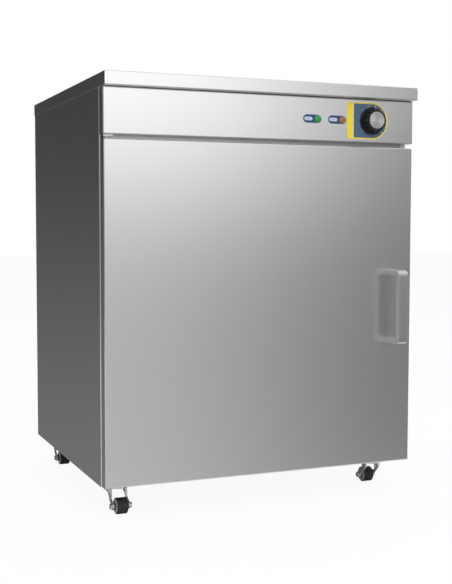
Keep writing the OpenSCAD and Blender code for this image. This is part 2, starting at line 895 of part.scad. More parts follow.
// Bottom bracket: narrow tongue that reaches under the door from a foot below the base
module hinge_bracket_bottom() {
    x0 = pivot_x - tongue_w / 2;
    foot_y = front_y + 4;
    foot_d = 12;
    color("gray") difference() {
        union() {
            box([x0, pivot_y - tongue_nose, body_z - tongue_t], [x0 + tongue_w, foot_y + foot_d, body_z]);
            box([x0, foot_y, body_z - tongue_t], [x0 + tongue_foot, foot_y + foot_d, body_z]);
        }
        rod_z([pivot_x, pivot_y, body_z - tongue_t - cut], pin_r + fit, tongue_t + 2 * cut);
    }
}

module hinge_pins() {
    low = body_z - tongue_t;
    color("silver") {
        rod_z([pivot_x, pivot_y, door_z1 - pin_depth], pin_r, bracket_top - door_z1 + pin_depth);
        rod_z([pivot_x, pivot_y, low], pin_r, door_z0 + pin_depth - low);
        rod_z([pivot_x, pivot_y, low - pin_head_h], pin_r + 0.8, pin_head_h);
    }
}

// Nylon bush: shank up inside the door's edge, flange that runs on the bracket
module hinge_bush(flange) {
    shank = pin_depth + 2;
    difference() {
        union() {
            rod_z([0, 0, -shank], bush_r, shank);
            rod_z([0, 0, 0], bush_flange_r, flange);
        }
        rod_z([0, 0, -shank - cut], pin_r + fit, shank + flange + 2 * cut);
    }
}

module hinge_bushes() {
    color("white") {
        translate([pivot_x, pivot_y, door_z1]) hinge_bush(bracket_top - bracket_t - door_z1 - 2 * fit);
        translate([pivot_x, pivot_y, door_z0]) mirror([0, 0, 1]) hinge_bush(sill_gap - 2 * fit);
    }
}

// ---------- door ----------

// Outer skin: pan with its edges folded back, drilled for the bushes and the handle's screws
module door_outer_skin() {
    back = door_back_y - liner_t;
    color("silver") difference() {
        front_pan([door_x0, back, door_z0], door_w, door_h, back - face_y, sheet_t, bend_r, door_lip);
        for (z = [door_z0, door_z1])
            rod_z([pivot_x, pivot_y, z - sheet_t - cut], bush_r + fit, 2 * (sheet_t + cut));
        for (z = handle_screw_places)
            rod_y([handle_x, face_y - cut, z], handle_screw_r + fit, sheet_t + 2 * cut);
    }
}

// Rectangular ring in the door's plane, at a distance inside the door's edges
module door_ring(inset, w, low_y, high_y) {
    outer = inset - w / 2;
    inner = inset + w / 2;
    difference() {
        box([door_x0 + outer, low_y, door_z0 + outer], [door_x1 - outer, high_y, door_z1 - outer]);
        box([door_x0 + inner, low_y - cut, door_z0 + inner],
            [door_x1 - inner, high_y + cut, door_z1 - inner]);
    }
}

// Flat field on the back of the door, with round corners
module door_field(inset, low_y, high_y) {
    translate([0, high_y, (door_z0 + door_z1) / 2]) rotate([90, 0, 0]) linear_extrude(high_y - low_y)
        rounded_rect(door_w - 2 * inset, door_h - 2 * inset, field_r);
}

// Inner skin: sheet over the back of the door with a pressed groove for the seal and a sunk field
module door_inner_skin() {
    edge = 4;
    groove_y = door_back_y - seal_groove_d;
    field_y = door_back_y - field_d;
    color("gainsboro") difference() {
        union() {
            box([door_x0 + edge, door_back_y - liner_t, door_z0 + edge],
                [door_x1 - edge, door_back_y, door_z1 - edge]);
            door_ring(seal_inset, seal_groove_w + 2 * liner_t, groove_y - liner_t, door_back_y);
            door_field(field_inset - liner_t, field_y - liner_t, door_back_y);
        }
        door_ring(seal_inset, seal_groove_w, groove_y, door_back_y + cut);
        door_field(field_inset, field_y, door_back_y + cut);
    }
}

module door_insulation() {
    recess_r = handle_screw_head_r + 1.5;
    color("khaki") difference() {
        box([door_x0 + insulation_inset, face_y + sheet_t + fit, door_z0 + insulation_inset],
            [door_x1 - bend_r, door_back_y - seal_groove_d - liner_t - seam, door_z1 - insulation_inset]);
        for (z = handle_screw_places) rod_y([handle_x, face_y, z], recess_r, 8);
    }
}

// Door seal: a foot in the groove and a round bulb that closes on the frame
module door_gasket() {
    foot_y = door_back_y - seal_groove_d + fit;
    bulb_y = front_y - seam - seal_r;
    w = door_w - 2 * seal_inset;
    h = door_h - 2 * seal_inset;
    color("dimgray") {
        door_ring(seal_inset, seal_groove_w - 2 * seam, foot_y, foot_y + 2);
        translate([0, bulb_y, (door_z0 + door_z1) / 2]) rotate([90, 0, 0]) rod_hoop(w, h, 2 * seal_r, seal_r);
    }
}

// Bow handle: one bar bent to two arms and a grip
module door_handle() {
    reach = handle_reach - handle_t / 2 - handle_bend;
    grip_y = face_y - handle_reach + handle_t / 2;
    bend_z = handle_arm_z - handle_bend;
    depth = handle_screw_depth + cut;
    color("lightgray") difference() {
        translate([handle_x, 0, handle_z]) {
            translate([0, grip_y, -bend_z])
                linear_extrude(2 * bend_z) rounded_rect(handle_w, handle_t, handle_edge);
            for (up = [0, 1]) mirror([0, 0, up]) {
                translate([0, face_y, handle_arm_z]) rotate([90, 0, 0])
                    linear_extrude(reach) rounded_rect(handle_w, handle_t, handle_edge);
                translate([0, grip_y + handle_bend, bend_z]) rotate([90, 0, -90])
                    rotate_extrude(angle = 90, $fn = round_fn)
                        translate([handle_bend, 0]) rounded_rect(handle_t, handle_w, handle_edge);
            }
        }
        for (z = handle_screw_places) rod_y([handle_x, face_y - depth, z], handle_screw_r + fit, depth + cut);
    }
}

module handle_screws() {
    color("gray") for (z = handle_screw_places) {
        rod_y([handle_x, face_y - handle_screw_depth, z], handle_screw_r, handle_screw_depth + sheet_t + fit);
        rod_y([handle_x, face_y + sheet_t + fit, z], handle_screw_head_r, handle_screw_head_h);
    }
}

// Steel plate on the inner skin that the magnet holds
module catch_keeper() {
    half = [keeper_hw, 0, 5];
    low = [catch_x, door_back_y + fit, catch_z];
    color("gray") box(low - half, low + half + [0, keeper_t - fit, 0]);
}

// Magnet in a holder under the frame's top edge
module magnet_catch() {
    poles_y = door_back_y + keeper_t + seam;
    pole_t = 2;
    color("dimgray") {
        box([catch_x - catch_hw, front_y, opening_z1 - catch_h],
            [catch_x + catch_hw, front_y + catch_h, opening_z1 - fit]);
        for (z = [catch_z - 2 * pole_t, catch_z + pole_t])
            box([catch_x - pole_hw, poles_y, z], [catch_x + pole_hw, front_y, z + pole_t]);
    }
}

// ---------- knob ----------

// Knob body: smooth skirt and tapered, scalloped grip, bored for the spindle and recessed for the cap
module knob_skirt() {
    skirt_t = 3.5;
    grip_r = knob_r - 3;
    nose_r = cap_r + 3.4;
    body_len = knob_h - knob_gap;
    grip_len = body_len - skirt_t;
    scallop_r = 3.6;
    slope = atan((grip_r - nose_r) / grip_len);
    color("black") translate([knob_x, face_y - knob_gap, fascia_mid]) rotate([90, 0, 0]) difference() {
        union() {
            rod_z([0, 0, 0], knob_r, skirt_t);
            translate([0, 0, skirt_t]) difference() {
                cylinder(r1 = grip_r, r2 = nose_r, h = grip_len, $fn = round_fn);
                for (i = [0 : scallop_count - 1])
                    rotate([0, 0, (i + 0.5) * 360 / scallop_count]) translate([grip_r + scallop_r / 2, 0, 0])
                        rotate([0, -slope, 0]) rod_z([0, 0, 0], scallop_r, 2 * grip_len);
            }
        }
        rod_z([0, 0, body_len - cap_recess], cap_r + fit, cap_recess + cut);
        rod_z([0, 0, -cut], spindle_r + fit, body_len - cap_floor + cut);
    }
}

// Turned cap let into the knob's front: disc with a chamfered edge
module knob_cap() {
    chamfer = 0.6;
    color("gainsboro") translate([knob_x, face_y - knob_h + cap_recess, fascia_mid]) rotate([90, 0, 0]) {
        rod_z([0, 0, 0], cap_r, cap_recess);
        translate([0, 0, cap_recess]) cylinder(r1 = cap_r, r2 = cap_r - chamfer, h = chamfer, $fn = round_fn);
    }
}

module thermostat_spindle() {
    front = face_y - knob_h + cap_floor + 2 * fit;
    color("silver") rod_y([knob_x, front, fascia_mid], spindle_r, face_y + spindle_depth - front);
}

// ---------- casters ----------

// Puts its children at the swivel axis of one caster, turned as that caster stands
module at_caster(place) {
    x = place[0] * (half_w - caster_inset);
    y = (front_y + back_y) / 2 + place[1] * (body_d / 2 - caster_inset);
    translate([x, y, 0]) rotate([0, 0, place[2]]) children();
}

// Puts its children at every bolt of every caster
module at_caster_bolts() {
    for (place = casters) at_caster(place)
        for (x = [-1, 1], y = [-1, 1]) translate([x * bolt_pitch / 2, y * bolt_pitch / 2, 0]) children();
}

// Swivel race under a top plate: cup with a rolled rim
module swivel_race() {
    rotate_extrude($fn = round_fn) {
        square([race_r - race_rim_r, 2 * race_rim_r]);
        translate([race_r - race_rim_r, race_rim_r]) circle(race_rim_r, $fn = round_fn);
        square([race_r - 2 * race_rim_r, race_h]);
    }
}

// Top plates with the bearing race pressed under them and the kingpin riveted through
module caster_plates() {
    race_z = body_z - plate_t - race_h;
    rivet_z = crown_z - fork_t - seam;
    rivet_h = 2.6;
    color("silver") {
        for (place = casters) at_caster(place) {
            translate([0, 0, race_z]) swivel_race();
            rod_z([0, 0, rivet_z], kingpin_r, race_z - rivet_z);
            translate([0, 0, rivet_z - rivet_h])
                cylinder(r1 = kingpin_r + 1, r2 = kingpin_r + 3, h = rivet_h, $fn = round_fn);
        }
        difference() {
            for (place = casters) at_caster(place) translate([0, 0, body_z - plate_t])
                linear_extrude(plate_t) rounded_rect(plate_side, plate_side, 5);
            at_caster_bolts() rod_z([0, 0, body_z - plate_t - cut], bolt_r + fit, plate_t + 2 * cut);
        }
    }
}

// Bolts up through the plates and the base, each with its nut
module caster_bolts() {
    hex_r = 4.4;
    head_h = 3.2;
    nut_h = 4;
    color("gray") at_caster_bolts() {
        translate([0, 0, body_z - plate_t - head_h]) cylinder(r = hex_r, h = head_h, $fn = 6);
        rod_z([0, 0, body_z - plate_t], bolt_r, plate_t + sheet_t + nut_h + 3);
        translate([0, 0, body_z + sheet_t]) cylinder(r = hex_r, h = nut_h, $fn = 6);
    }
}

// Leg of a fork seen from its side: straight down from the crown, then swept forward to the axle's boss
module leg_profile() {
    axle = [-caster_trail, wheel_r];
    polygon([
        [leg_back, crown_z],
        [-leg_front, crown_z],
        [-leg_front, front_knee_z],
        axle + leg_neck * [-sin(leg_rise), cos(leg_rise)],
        axle + leg_neck * [cos(leg_sweep), -sin(leg_sweep)],
        [leg_back, back_knee_z],
    ]);
    translate(axle) circle(leg_end_r, $fn = round_fn);
}

// Front and back edges of a leg, turned in between its knees and the crown's bend
module leg_flanges() {
    inner_x = leg_flange_w - fork_w / 2;
    top = crown_z - fork_bend_r;
    box([-fork_w / 2, -leg_front, front_knee_z + seam], [inner_x, fork_t - leg_front, top]);
    box([-fork_w / 2, leg_back - fork_t, back_knee_z + seam], [inner_x, leg_back, top]);
}

// Fork: sheet bent over the crown, with two flanged legs that sweep forward to the axle
module fork(place) {
    reach = caster_trail + leg_end_r + cut;
    drop = crown_z - wheel_r + leg_end_r + cut;
    low = [-fork_w / 2, -reach, crown_z - drop];
    color("silver") at_caster(place) difference() {
        union() {
            intersection() {
                channel_y(low, fork_w, drop, reach + leg_back + cut, fork_t, fork_bend_r);
                rotate([90, 0, 90]) translate([0, 0, -fork_w]) linear_extrude(2 * fork_w) leg_profile();
            }
            for (side = [0, 1]) mirror([side, 0, 0]) leg_flanges();
            rod_z([0, 0, crown_z - fork_t], crown_r, fork_t);
        }
        rod_z([0, 0, crown_z - fork_t - cut], kingpin_r + fit, fork_t + 2 * cut);
        rod_x([-fork_w, -caster_trail, wheel_r], axle_r + fit, 2 * fork_w);
    }
}

// Axle bolt with its head on one side of the fork and its nut on the other
module axle(place) {
    head_w = 3.5;
    head_r = 5;
    color("gray") at_caster(place) {
        rod_x([-fork_w / 2 - 1, -caster_trail, wheel_r], axle_r, fork_w + 2);
        for (x = [-fork_w / 2 - head_w - fit, fork_w / 2 + fit])
            translate([x, -caster_trail, wheel_r]) rotate([0, 90, 0])
                cylinder(r = head_r, h = head_w, $fn = 6);
    }
}

// Wheel's section: eased tread, rims, dished webs and the hub that stands out to the fork
module wheel_section(hub_w) {
    hub_r = 6;
    rim = 3;
    dish = 2;
    ease = 1.2;
    half = wheel_w / 2;
    side = [
        [axle_r + fit, hub_w / 2],
        [hub_r, hub_w / 2],
        [hub_r, half - dish],
        [wheel_r - rim, half - dish],
        [wheel_r - rim, half],
        [wheel_r - ease, half],
        [wheel_r, half - ease],
    ];
    polygon(concat(side, [for (i = [len(side) - 1 : -1 : 0]) [side[i].x, -side[i].y]]));
}

module wheel(place) {
    color("black") at_caster(place) translate([0, -caster_trail, wheel_r]) rotate([0, 90, 0])
        rotate_extrude($fn = round_fn) wheel_section(fork_w - 2 * fork_t - 2 * seam);
}

module fork_front_left() {
    fork(front_left);
}

module fork_front_right() {
    fork(front_right);
}

module fork_rear_left() {
    fork(rear_left);
}

module fork_rear_right() {
    fork(rear_right);
}

module axle_front_left() {
    axle(front_left);
}

module axle_front_right() {
    axle(front_right);
}

module axle_rear_left() {
    axle(rear_left);
}

module axle_rear_right() {
    axle(rear_right);
}

module wheel_front_left() {
    wheel(front_left);
}

module wheel_front_right() {
    wheel(front_right);
}

module wheel_rear_left() {
    wheel(rear_left);
}

module wheel_rear_right() {
    wheel(rear_right);
}

worktop();
side_panel_left();
side_panel_right();
rear_panel();
base_pan();
front_frame();
liner_left();
liner_right();
liner_back();
liner_ceiling();
liner_floor();
insulation_wrap();
insulation_top();
insulation_floor();
control_fascia();
control_tray();
thermostat_body();
thermostat_bulb();
thermal_cutout();
terminal_block();
wiring_loom();
lamp_bodies();
lamp_lens_green();
lamp_lens_amber();
heating_element();
heater_guard();
rack_left();
rack_right();
shelf_upper();
shelf_lower();
cable_gland();
hinge_bracket_top();
hinge_bracket_bottom();
hinge_pins();
caster_plates();
caster_bolts();
magnet_catch();
door_outer_skin();
door_inner_skin();
door_insulation();
door_gasket();
door_handle();
handle_screws();
hinge_bushes();
catch_keeper();
knob_skirt();
knob_cap();
thermostat_spindle();
fork_front_left();
axle_front_left();
wheel_front_left();
fork_front_right();
axle_front_right();
wheel_front_right();
fork_rear_left();
axle_rear_left();
wheel_rear_left();
fork_rear_right();
axle_rear_right();
wheel_rear_right();
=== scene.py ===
"""Plate warmer cabinet: an insulated hot cupboard on casters, dressed and lit as a studio product shot.

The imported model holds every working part. This script gives each part its finish, adds the small trim
that is printed, pressed or screwed on (dial plate, lamp labels, wheel cores, rear screws), and sets the
camera and the stage.
"""

import json
import logging
import math
from collections.abc import Callable
from dataclasses import dataclass
from enum import Enum
from functools import cache
from typing import Protocol

import bmesh
import bpy
from mathutils import Matrix, Vector


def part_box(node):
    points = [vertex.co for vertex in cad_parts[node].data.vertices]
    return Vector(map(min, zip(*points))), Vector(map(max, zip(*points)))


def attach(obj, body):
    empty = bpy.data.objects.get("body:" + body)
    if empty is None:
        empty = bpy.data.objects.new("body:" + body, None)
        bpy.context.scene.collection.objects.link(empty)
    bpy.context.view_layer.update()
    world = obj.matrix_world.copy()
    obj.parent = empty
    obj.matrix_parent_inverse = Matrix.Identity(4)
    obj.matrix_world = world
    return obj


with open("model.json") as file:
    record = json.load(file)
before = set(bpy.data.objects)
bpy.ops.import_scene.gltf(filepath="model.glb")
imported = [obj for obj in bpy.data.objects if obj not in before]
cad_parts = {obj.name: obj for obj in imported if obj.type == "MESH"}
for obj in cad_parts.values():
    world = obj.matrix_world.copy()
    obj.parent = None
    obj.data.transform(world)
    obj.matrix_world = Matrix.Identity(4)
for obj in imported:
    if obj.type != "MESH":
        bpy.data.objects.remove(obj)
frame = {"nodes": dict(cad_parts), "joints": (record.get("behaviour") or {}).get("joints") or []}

log = logging.getLogger("plate_warmer")

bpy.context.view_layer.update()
MM = 0.001
SHARP_ANGLE = 35.0  # edges that turn by more, in degrees, stay sharp
CORNER_STEPS = 14  # straight steps in a quarter turn of an outline
ROUND_STEPS = 64  # faces round a turned piece
JOIN_DISTANCE = 1e-7  # outline points closer than this, in metres, are one
WHITE = (1.0, 1.0, 1.0, 1.0)

# The Mix node has sockets of its own for each type of data. These are the ones used here, by index.
FLOAT_A, FLOAT_B, FLOAT_MIX = 2, 3, 0
COLOUR_A, COLOUR_B, COLOUR_MIX = 6, 7, 2

Point = tuple[float, float]
Triple = tuple[float, float, float]
Socket = bpy.types.NodeSocket
Value = float | int | tuple | str | Socket


# ---------- small helpers ----------


def linear(hex_colour: str) -> tuple[float, float, float, float]:
    """Turn an sRGB hex colour into linear RGBA.

    Args:
        hex_colour: The colour as "#RRGGBB".

    Returns:
        The colour in linear light, with an alpha of 1.
    """
    channels = [int(hex_colour[i : i + 2], 16) / 255 for i in (1, 3, 5)]
    r, g, b = (c / 12.92 if c <= 0.04045 else ((c + 0.055) / 1.055) ** 2.4 for c in channels)
    return r, g, b, 1.0


def add_node(
    tree: bpy.types.NodeTree,
    kind: str,
    settings: dict[str, object] | None = None,
    inputs: dict[str | int, Value] | None = None,
) -> bpy.types.Node:
    """Add a node, set its options, and set or connect its inputs.

    Args:
        tree: The node tree that gets the node.
        kind: The node's type name.
        settings: Options of the node, by attribute name.
        inputs: Values or output sockets for its inputs, by input name or index.

    Returns:
        The new node.
    """
    node = tree.nodes.new(kind)
    for name, value in (settings or {}).items():
        setattr(node, name, value)
    for name, value in (inputs or {}).items():
        if isinstance(value, Socket):
            tree.links.new(value, node.inputs[name])
        else:
            node.inputs[name].default_value = value
    return node


def empty_material(name: str) -> tuple[bpy.types.Material, bpy.types.NodeTree]:
    """Make a material whose node tree is empty.

    Args:
        name: The material's name.

    Returns:
        The material and its node tree.
    """
    material = bpy.data.materials.new(name)
    material.use_nodes = True
    material.node_tree.nodes.clear()
    return material, material.node_tree


def finish_surface(tree: bpy.types.NodeTree, inputs: dict[str | int, Value]) -> None:
    """Add the main shader with its inputs and connect it to the material's output.

    Args:
        tree: The material's node tree.
        inputs: Values or sockets for the shader's inputs.
    """
    shader = add_node(tree, "ShaderNodeBsdfPrincipled", {}, inputs)
    add_node(tree, "ShaderNodeOutputMaterial", {}, {"Surface": shader.outputs["BSDF"]})


# ---------- finishes ----------


class Finish(Protocol):
    """Anything that builds one material."""

    def build(self) -> bpy.types.Material:
        """Build the material."""


@dataclass(frozen=True)
class SatinStainless:
    """Grade 304 stainless sheet, belt ground: soft, even reflections and a very fine upright grain."""

    name: str
    colour: str = "#E6E6E6"
    roughness: float = 0.25
    grain_mm: float = 0.9  # the belt's lines are about 0.1 mm apart; coarser here, so that they show at all
    grain_length_mm: float = 45.0
    grain_detail: float = 2.0
    grain_depth_mm: float = 0.0012
    grain_strength: float = 0.25
    grain_spread: float = 0.012
    haze_mm: float = 130.0
    haze_detail: float = 3.0
    haze_falloff: float = 0.55
    haze_spread: float = 0.008

    def build(self) -> bpy.types.Material:
        """Build the material, with its grain upright.

        Returns:
            The material.
        """
        material, tree = empty_material(self.name)
        place = add_node(tree, "ShaderNodeTexCoord").outputs["Object"]
        across, length = 1 / (self.grain_mm * MM), 1 / (self.grain_length_mm * MM)
        lines = add_node(
            tree, "ShaderNodeMapping", {}, {"Vector": place, "Scale": (across, across, length)}
        ).outputs[0]
        grain = add_node(
            tree, "ShaderNodeTexNoise", {}, {"Vector": lines, "Scale": 1.0, "Detail": self.grain_detail}
        ).outputs["Fac"]
        haze = add_node(
            tree,
            "ShaderNodeTexNoise",
            {},
            {
                "Vector": place,
                "Scale": 1 / (self.haze_mm * MM),
                "Detail": self.haze_detail,
                "Roughness": self.haze_falloff,
            },
        ).outputs["Fac"]
        wear = add_node(
            tree,
            "ShaderNodeMapRange",
            {},
            {
                "Value": haze,
                "To Min": self.roughness - self.haze_spread,
                "To Max": self.roughness + self.haze_spread,
            },
        ).outputs["Result"]
        rough = add_node(
            tree, "ShaderNodeMath", {"operation": "MULTIPLY_ADD"}, {0: grain, 1: self.grain_spread, 2: wear}
        ).outputs[0]
        bump = add_node(
            tree,
            "ShaderNodeBump",
            {},
            {"Height": grain, "Strength": self.grain_strength, "Distance": self.grain_depth_mm * MM},
        ).outputs["Normal"]
        finish_surface(
            tree, {"Base Color": linear(self.colour), "Metallic": 1.0, "Roughness": rough, "Normal": bump}
        )
        return material


@dataclass(frozen=True)
class MillStainless:
    """Cold-rolled stainless sheet as it leaves the mill: duller than satin, with faint rolling lines."""

    name: str
    colour: str = "#CDCDCB"
    shade: str = "#C3C3C2"
    roughness: float = 0.34
    cloud_mm: float = 240.0
    cloud_detail: float = 1.0
    cloud_falloff: float = 0.4
    cloud_spread: float = 0.012
    roll_mm: float = 6.0  # rolling lines are under 1 mm wide; coarser here, so that they show at all
    roll_length_mm: float = 900.0
    roll_detail: float = 1.0
    roll_share: float = 0.5

    def build(self) -> bpy.types.Material:
        """Build the material, with its rolling lines upright.

        Returns:
            The material.
        """
        material, tree = empty_material(self.name)
        place = add_node(tree, "ShaderNodeTexCoord").outputs["Object"]
        clouds = add_node(
            tree,
            "ShaderNodeTexNoise",
            {},
            {
                "Vector": place,
                "Scale": 1 / (self.cloud_mm * MM),
                "Detail": self.cloud_detail,
                "Roughness": self.cloud_falloff,
            },
        ).outputs["Fac"]
        across, length = 1 / (self.roll_mm * MM), 1 / (self.roll_length_mm * MM)
        lines = add_node(
            tree, "ShaderNodeMapping", {}, {"Vector": place, "Scale": (across, across, length)}
        ).outputs[0]
        rolled = add_node(
            tree, "ShaderNodeTexNoise", {}, {"Vector": lines, "Scale": 1.0, "Detail": self.roll_detail}
        ).outputs["Fac"]
        both = add_node(
            tree,
            "ShaderNodeMix",
            {"data_type": "FLOAT"},
            {"Factor": self.roll_share, FLOAT_A: clouds, FLOAT_B: rolled},
        ).outputs[FLOAT_MIX]
        tone = add_node(
            tree,
            "ShaderNodeMix",
            {"data_type": "RGBA"},
            {"Factor": both, COLOUR_A: linear(self.shade), COLOUR_B: linear(self.colour)},
        ).outputs[COLOUR_MIX]
        rough = add_node(
            tree,
            "ShaderNodeMapRange",
            {},
            {
                "Value": clouds,
                "To Min": self.roughness - self.cloud_spread,
                "To Max": self.roughness + self.cloud_spread,
            },
        ).outputs["Result"]
        finish_surface(tree, {"Base Color": tone, "Metallic": 1.0, "Roughness": rough})
        return material


@dataclass(frozen=True)
class PlatedSteel:
    """Steel with a bright plating, or another bare metal: a silver coat with a faint mottle."""

    name: str
    colour: str
    shade: str
    roughness: float
    mottle_mm: float = 6.0
    mottle_detail: float = 5.0
    mottle_falloff: float = 0.65
    mottle_spread: float = 0.25  # share of the roughness

    def build(self) -> bpy.types.Material:
        """Build the material.

        Returns:
            The material.
        """
        material, tree = empty_material(self.name)
        place = add_node(tree, "ShaderNodeTexCoord").outputs["Object"]
        mottle = add_node(
            tree,
            "ShaderNodeTexNoise",
            {},
            {
                "Vector": place,
                "Scale": 1 / (self.mottle_mm * MM),
                "Detail": self.mottle_detail,
                "Roughness": self.mottle_falloff,
            },
        ).outputs["Fac"]
        tone = add_node(
            tree,
            "ShaderNodeMix",
            {"data_type": "RGBA"},
            {"Factor": mottle, COLOUR_A: linear(self.shade), COLOUR_B: linear(self.colour)},
        ).outputs[COLOUR_MIX]
        rough = add_node(
            tree,
            "ShaderNodeMapRange",
            {},
            {
                "Value": mottle,
                "To Min": self.roughness * (1 - self.mottle_spread),
                "To Max": self.roughness * (1 + self.mottle_spread),
            },
        ).outputs["Result"]
        finish_surface(tree, {"Base Color": tone, "Metallic": 1.0, "Roughness": rough})
        return material


@dataclass(frozen=True)
class TurnedAluminium:
    """Aluminium faced on a lathe: rings of tool marks that spread each light into a fan."""

    name: str
    colour: str = "#E4E4E4"
    shade: str = "#C4C4C4"
    roughness: float = 0.42
    ring_mm: float = 0.7  # tool marks are about 0.1 mm apart; coarser here, so that they show
    ring_detail: float = 2.0
    width_mm: float = 30.0  # what the generated coordinates span, about the cap's width
    anisotropy: float = 0.85
    fan_turn: float = 0.25  # a quarter turn: light fans out across the rings

    def build(self) -> bpy.types.Material:
        """Build the material, with its rings round the piece's own Y axis.

        Returns:
            The material.
        """
        material, tree = empty_material(self.name)
        generated = add_node(tree, "ShaderNodeTexCoord").outputs["Generated"]
        centred = add_node(
            tree, "ShaderNodeVectorMath", {"operation": "SUBTRACT"}, {0: generated, 1: (0.5, 0.5, 0.5)}
        ).outputs[0]
        flat = add_node(
            tree, "ShaderNodeVectorMath", {"operation": "MULTIPLY"}, {0: centred, 1: (1.0, 0.0, 1.0)}
        ).outputs[0]
        radius = add_node(tree, "ShaderNodeVectorMath", {"operation": "LENGTH"}, {0: flat}).outputs["Value"]
        rings = add_node(
            tree,
            "ShaderNodeTexNoise",
            {"noise_dimensions": "1D"},
            {"W": radius, "Scale": self.width_mm / self.ring_mm, "Detail": self.ring_detail},
        ).outputs["Fac"]
        tone = add_node(
            tree,
            "ShaderNodeMix",
            {"data_type": "RGBA"},
            {"Factor": rings, COLOUR_A: linear(self.shade), COLOUR_B: linear(self.colour)},
        ).outputs[COLOUR_MIX]
        tangent = add_node(tree, "ShaderNodeTangent", {"direction_type": "RADIAL", "axis": "Y"}).outputs[0]
        finish_surface(
            tree,
            {
                "Base Color": tone,
                "Metallic": 1.0,
                "Roughness": self.roughness,
                "Anisotropic": self.anisotropy,
                "Anisotropic Rotation": self.fan_turn,
                "Tangent": tangent,
            },
        )
        return material


@dataclass(frozen=True)
class MouldedPlastic:
    """Injection-moulded plastic, from a spark-eroded mould: a faint grain and a soft sheen."""

    name: str
    colour: str
    shade: str
    roughness: float = 0.45
    grain_mm: float = 0.5
    grain_depth_mm: float = 0.03
    grain_detail: float = 3.0
    grain_strength: float = 0.3
    drift_mm: float = 12.0
    drift_detail: float = 2.0
    drift_spread: float = 0.04
    ior: float = 1.5

    def build(self) -> bpy.types.Material:
        """Build the material.

        Returns:
            The material.
        """
        material, tree = empty_material(self.name)
        place = add_node(tree, "ShaderNodeTexCoord").outputs["Object"]
        grain = add_node(
            tree,
            "ShaderNodeTexNoise",
            {},
            {"Vector": place, "Scale": 1 / (self.grain_mm * MM), "Detail": self.grain_detail},
        ).outputs["Fac"]
        drift = add_node(
            tree,
            "ShaderNodeTexNoise",
            {},
            {"Vector": place, "Scale": 1 / (self.drift_mm * MM), "Detail": self.drift_detail},
        ).outputs["Fac"]
        tone = add_node(
            tree,
            "ShaderNodeMix",
            {"data_type": "RGBA"},
            {"Factor": drift, COLOUR_A: linear(self.shade), COLOUR_B: linear(self.colour)},
        ).outputs[COLOUR_MIX]
        bump = add_node(
            tree,
            "ShaderNodeBump",
            {},
            {"Height": grain, "Strength": self.grain_strength, "Distance": self.grain_depth_mm * MM},
        ).outputs["Normal"]
        rough = add_node(
            tree,
            "ShaderNodeMapRange",
            {},
            {
                "Value": drift,
                "To Min": self.roughness - self.drift_spread,
                "To Max": self.roughness + self.drift_spread,
            },
        ).outputs["Result"]
        finish_surface(tree, {"Base Color": tone, "Roughness": rough, "IOR": self.ior, "Normal": bump})
        return material


@dataclass(frozen=True)
class LensAcrylic:
    """Tinted acrylic lens with a prism pattern inside: clear and glossy in front, cloudy behind."""

    name: str
    colour: str
    shade: str
    prism_mm: float = 1.3
    prism_randomness: float = 0.2
    roughness: float = 0.22
    ior: float = 1.49
    cloud_weight: float = 0.25
    cloud_depth_mm: float = 2.0
    gloss_weight: float = 0.6
    gloss_roughness: float = 0.06

    def build(self) -> bpy.types.Material:
        """Build the material.

        Returns:
            The material.
        """
        material, tree = empty_material(self.name)
        place = add_node(tree, "ShaderNodeTexCoord").outputs["Object"]
        prisms = add_node(
            tree,
            "ShaderNodeTexVoronoi",
            {},
            {"Vector": place, "Scale": 1 / (self.prism_mm * MM), "Randomness": self.prism_randomness},
        ).outputs["Distance"]
        tone = add_node(
            tree,
            "ShaderNodeMix",
            {"data_type": "RGBA"},
            {"Factor": prisms, COLOUR_A: linear(self.colour), COLOUR_B: linear(self.shade)},
        ).outputs[COLOUR_MIX]
        finish_surface(
            tree,
            {
                "Base Color": tone,
                "Roughness": self.roughness,
                "IOR": self.ior,
                "Subsurface Weight": self.cloud_weight,
                "Subsurface Scale": self.cloud_depth_mm * MM,
                "Coat Weight": self.gloss_weight,
                "Coat Roughness": self.gloss_roughness,
            },
        )
        return material


@dataclass(frozen=True)
class MineralWool:
    """Mineral wool blanket: matted fibres, straw-coloured, with painted shade in the hollows between them."""

    name: str
    colour: str = "#CDBE8A"
    # painted shade: the darker colour that fills the hollows between the fibres
    shade: str = "#9A8858"
    roughness: float = 0.95
    sheen_weight: float = 0.2
    fibre_mm: float = 1.6
    fibre_length_mm: float = 14.0
    fibre_turns: Triple = (0.3, 0.5, 0.7)  # in radians, so that the fibres lie askew to every face
    fibre_detail: float = 6.0
    fibre_distortion: float = 1.2
    fibre_depth_mm: float = 2.0
    fibre_strength: float = 0.8

    def build(self) -> bpy.types.Material:
        """Build the material.

        Returns:
            The material.
        """
        material, tree = empty_material(self.name)
        place = add_node(tree, "ShaderNodeTexCoord").outputs["Object"]
        across, length = 1 / (self.fibre_mm * MM), 1 / (self.fibre_length_mm * MM)
        stretched = add_node(
            tree,
            "ShaderNodeMapping",
            {},
            {"Vector": place, "Rotation": self.fibre_turns, "Scale": (length, across, across)},
        ).outputs[0]
        fibres = add_node(
            tree,
            "ShaderNodeTexNoise",
            {},
            {
                "Vector": stretched,
                "Scale": 1.0,
                "Detail": self.fibre_detail,
                "Distortion": self.fibre_distortion,
            },
        ).outputs["Fac"]
        # The fibres' low parts, which are the bump's hollows, take the darker colour: painted shade.
        tone = add_node(
            tree,
            "ShaderNodeMix",
            {"data_type": "RGBA"},
            {"Factor": fibres, COLOUR_A: linear(self.shade), COLOUR_B: linear(self.colour)},
        ).outputs[COLOUR_MIX]
        bump = add_node(
            tree,
            "ShaderNodeBump",
            {},
            {"Height": fibres, "Strength": self.fibre_strength, "Distance": self.fibre_depth_mm * MM},
        ).outputs["Normal"]
        finish_surface(
            tree,
            {
                "Base Color": tone,
                "Roughness": self.roughness,
                "Sheen Weight": self.sheen_weight,
                "Normal": bump,
            },
        )
        return material


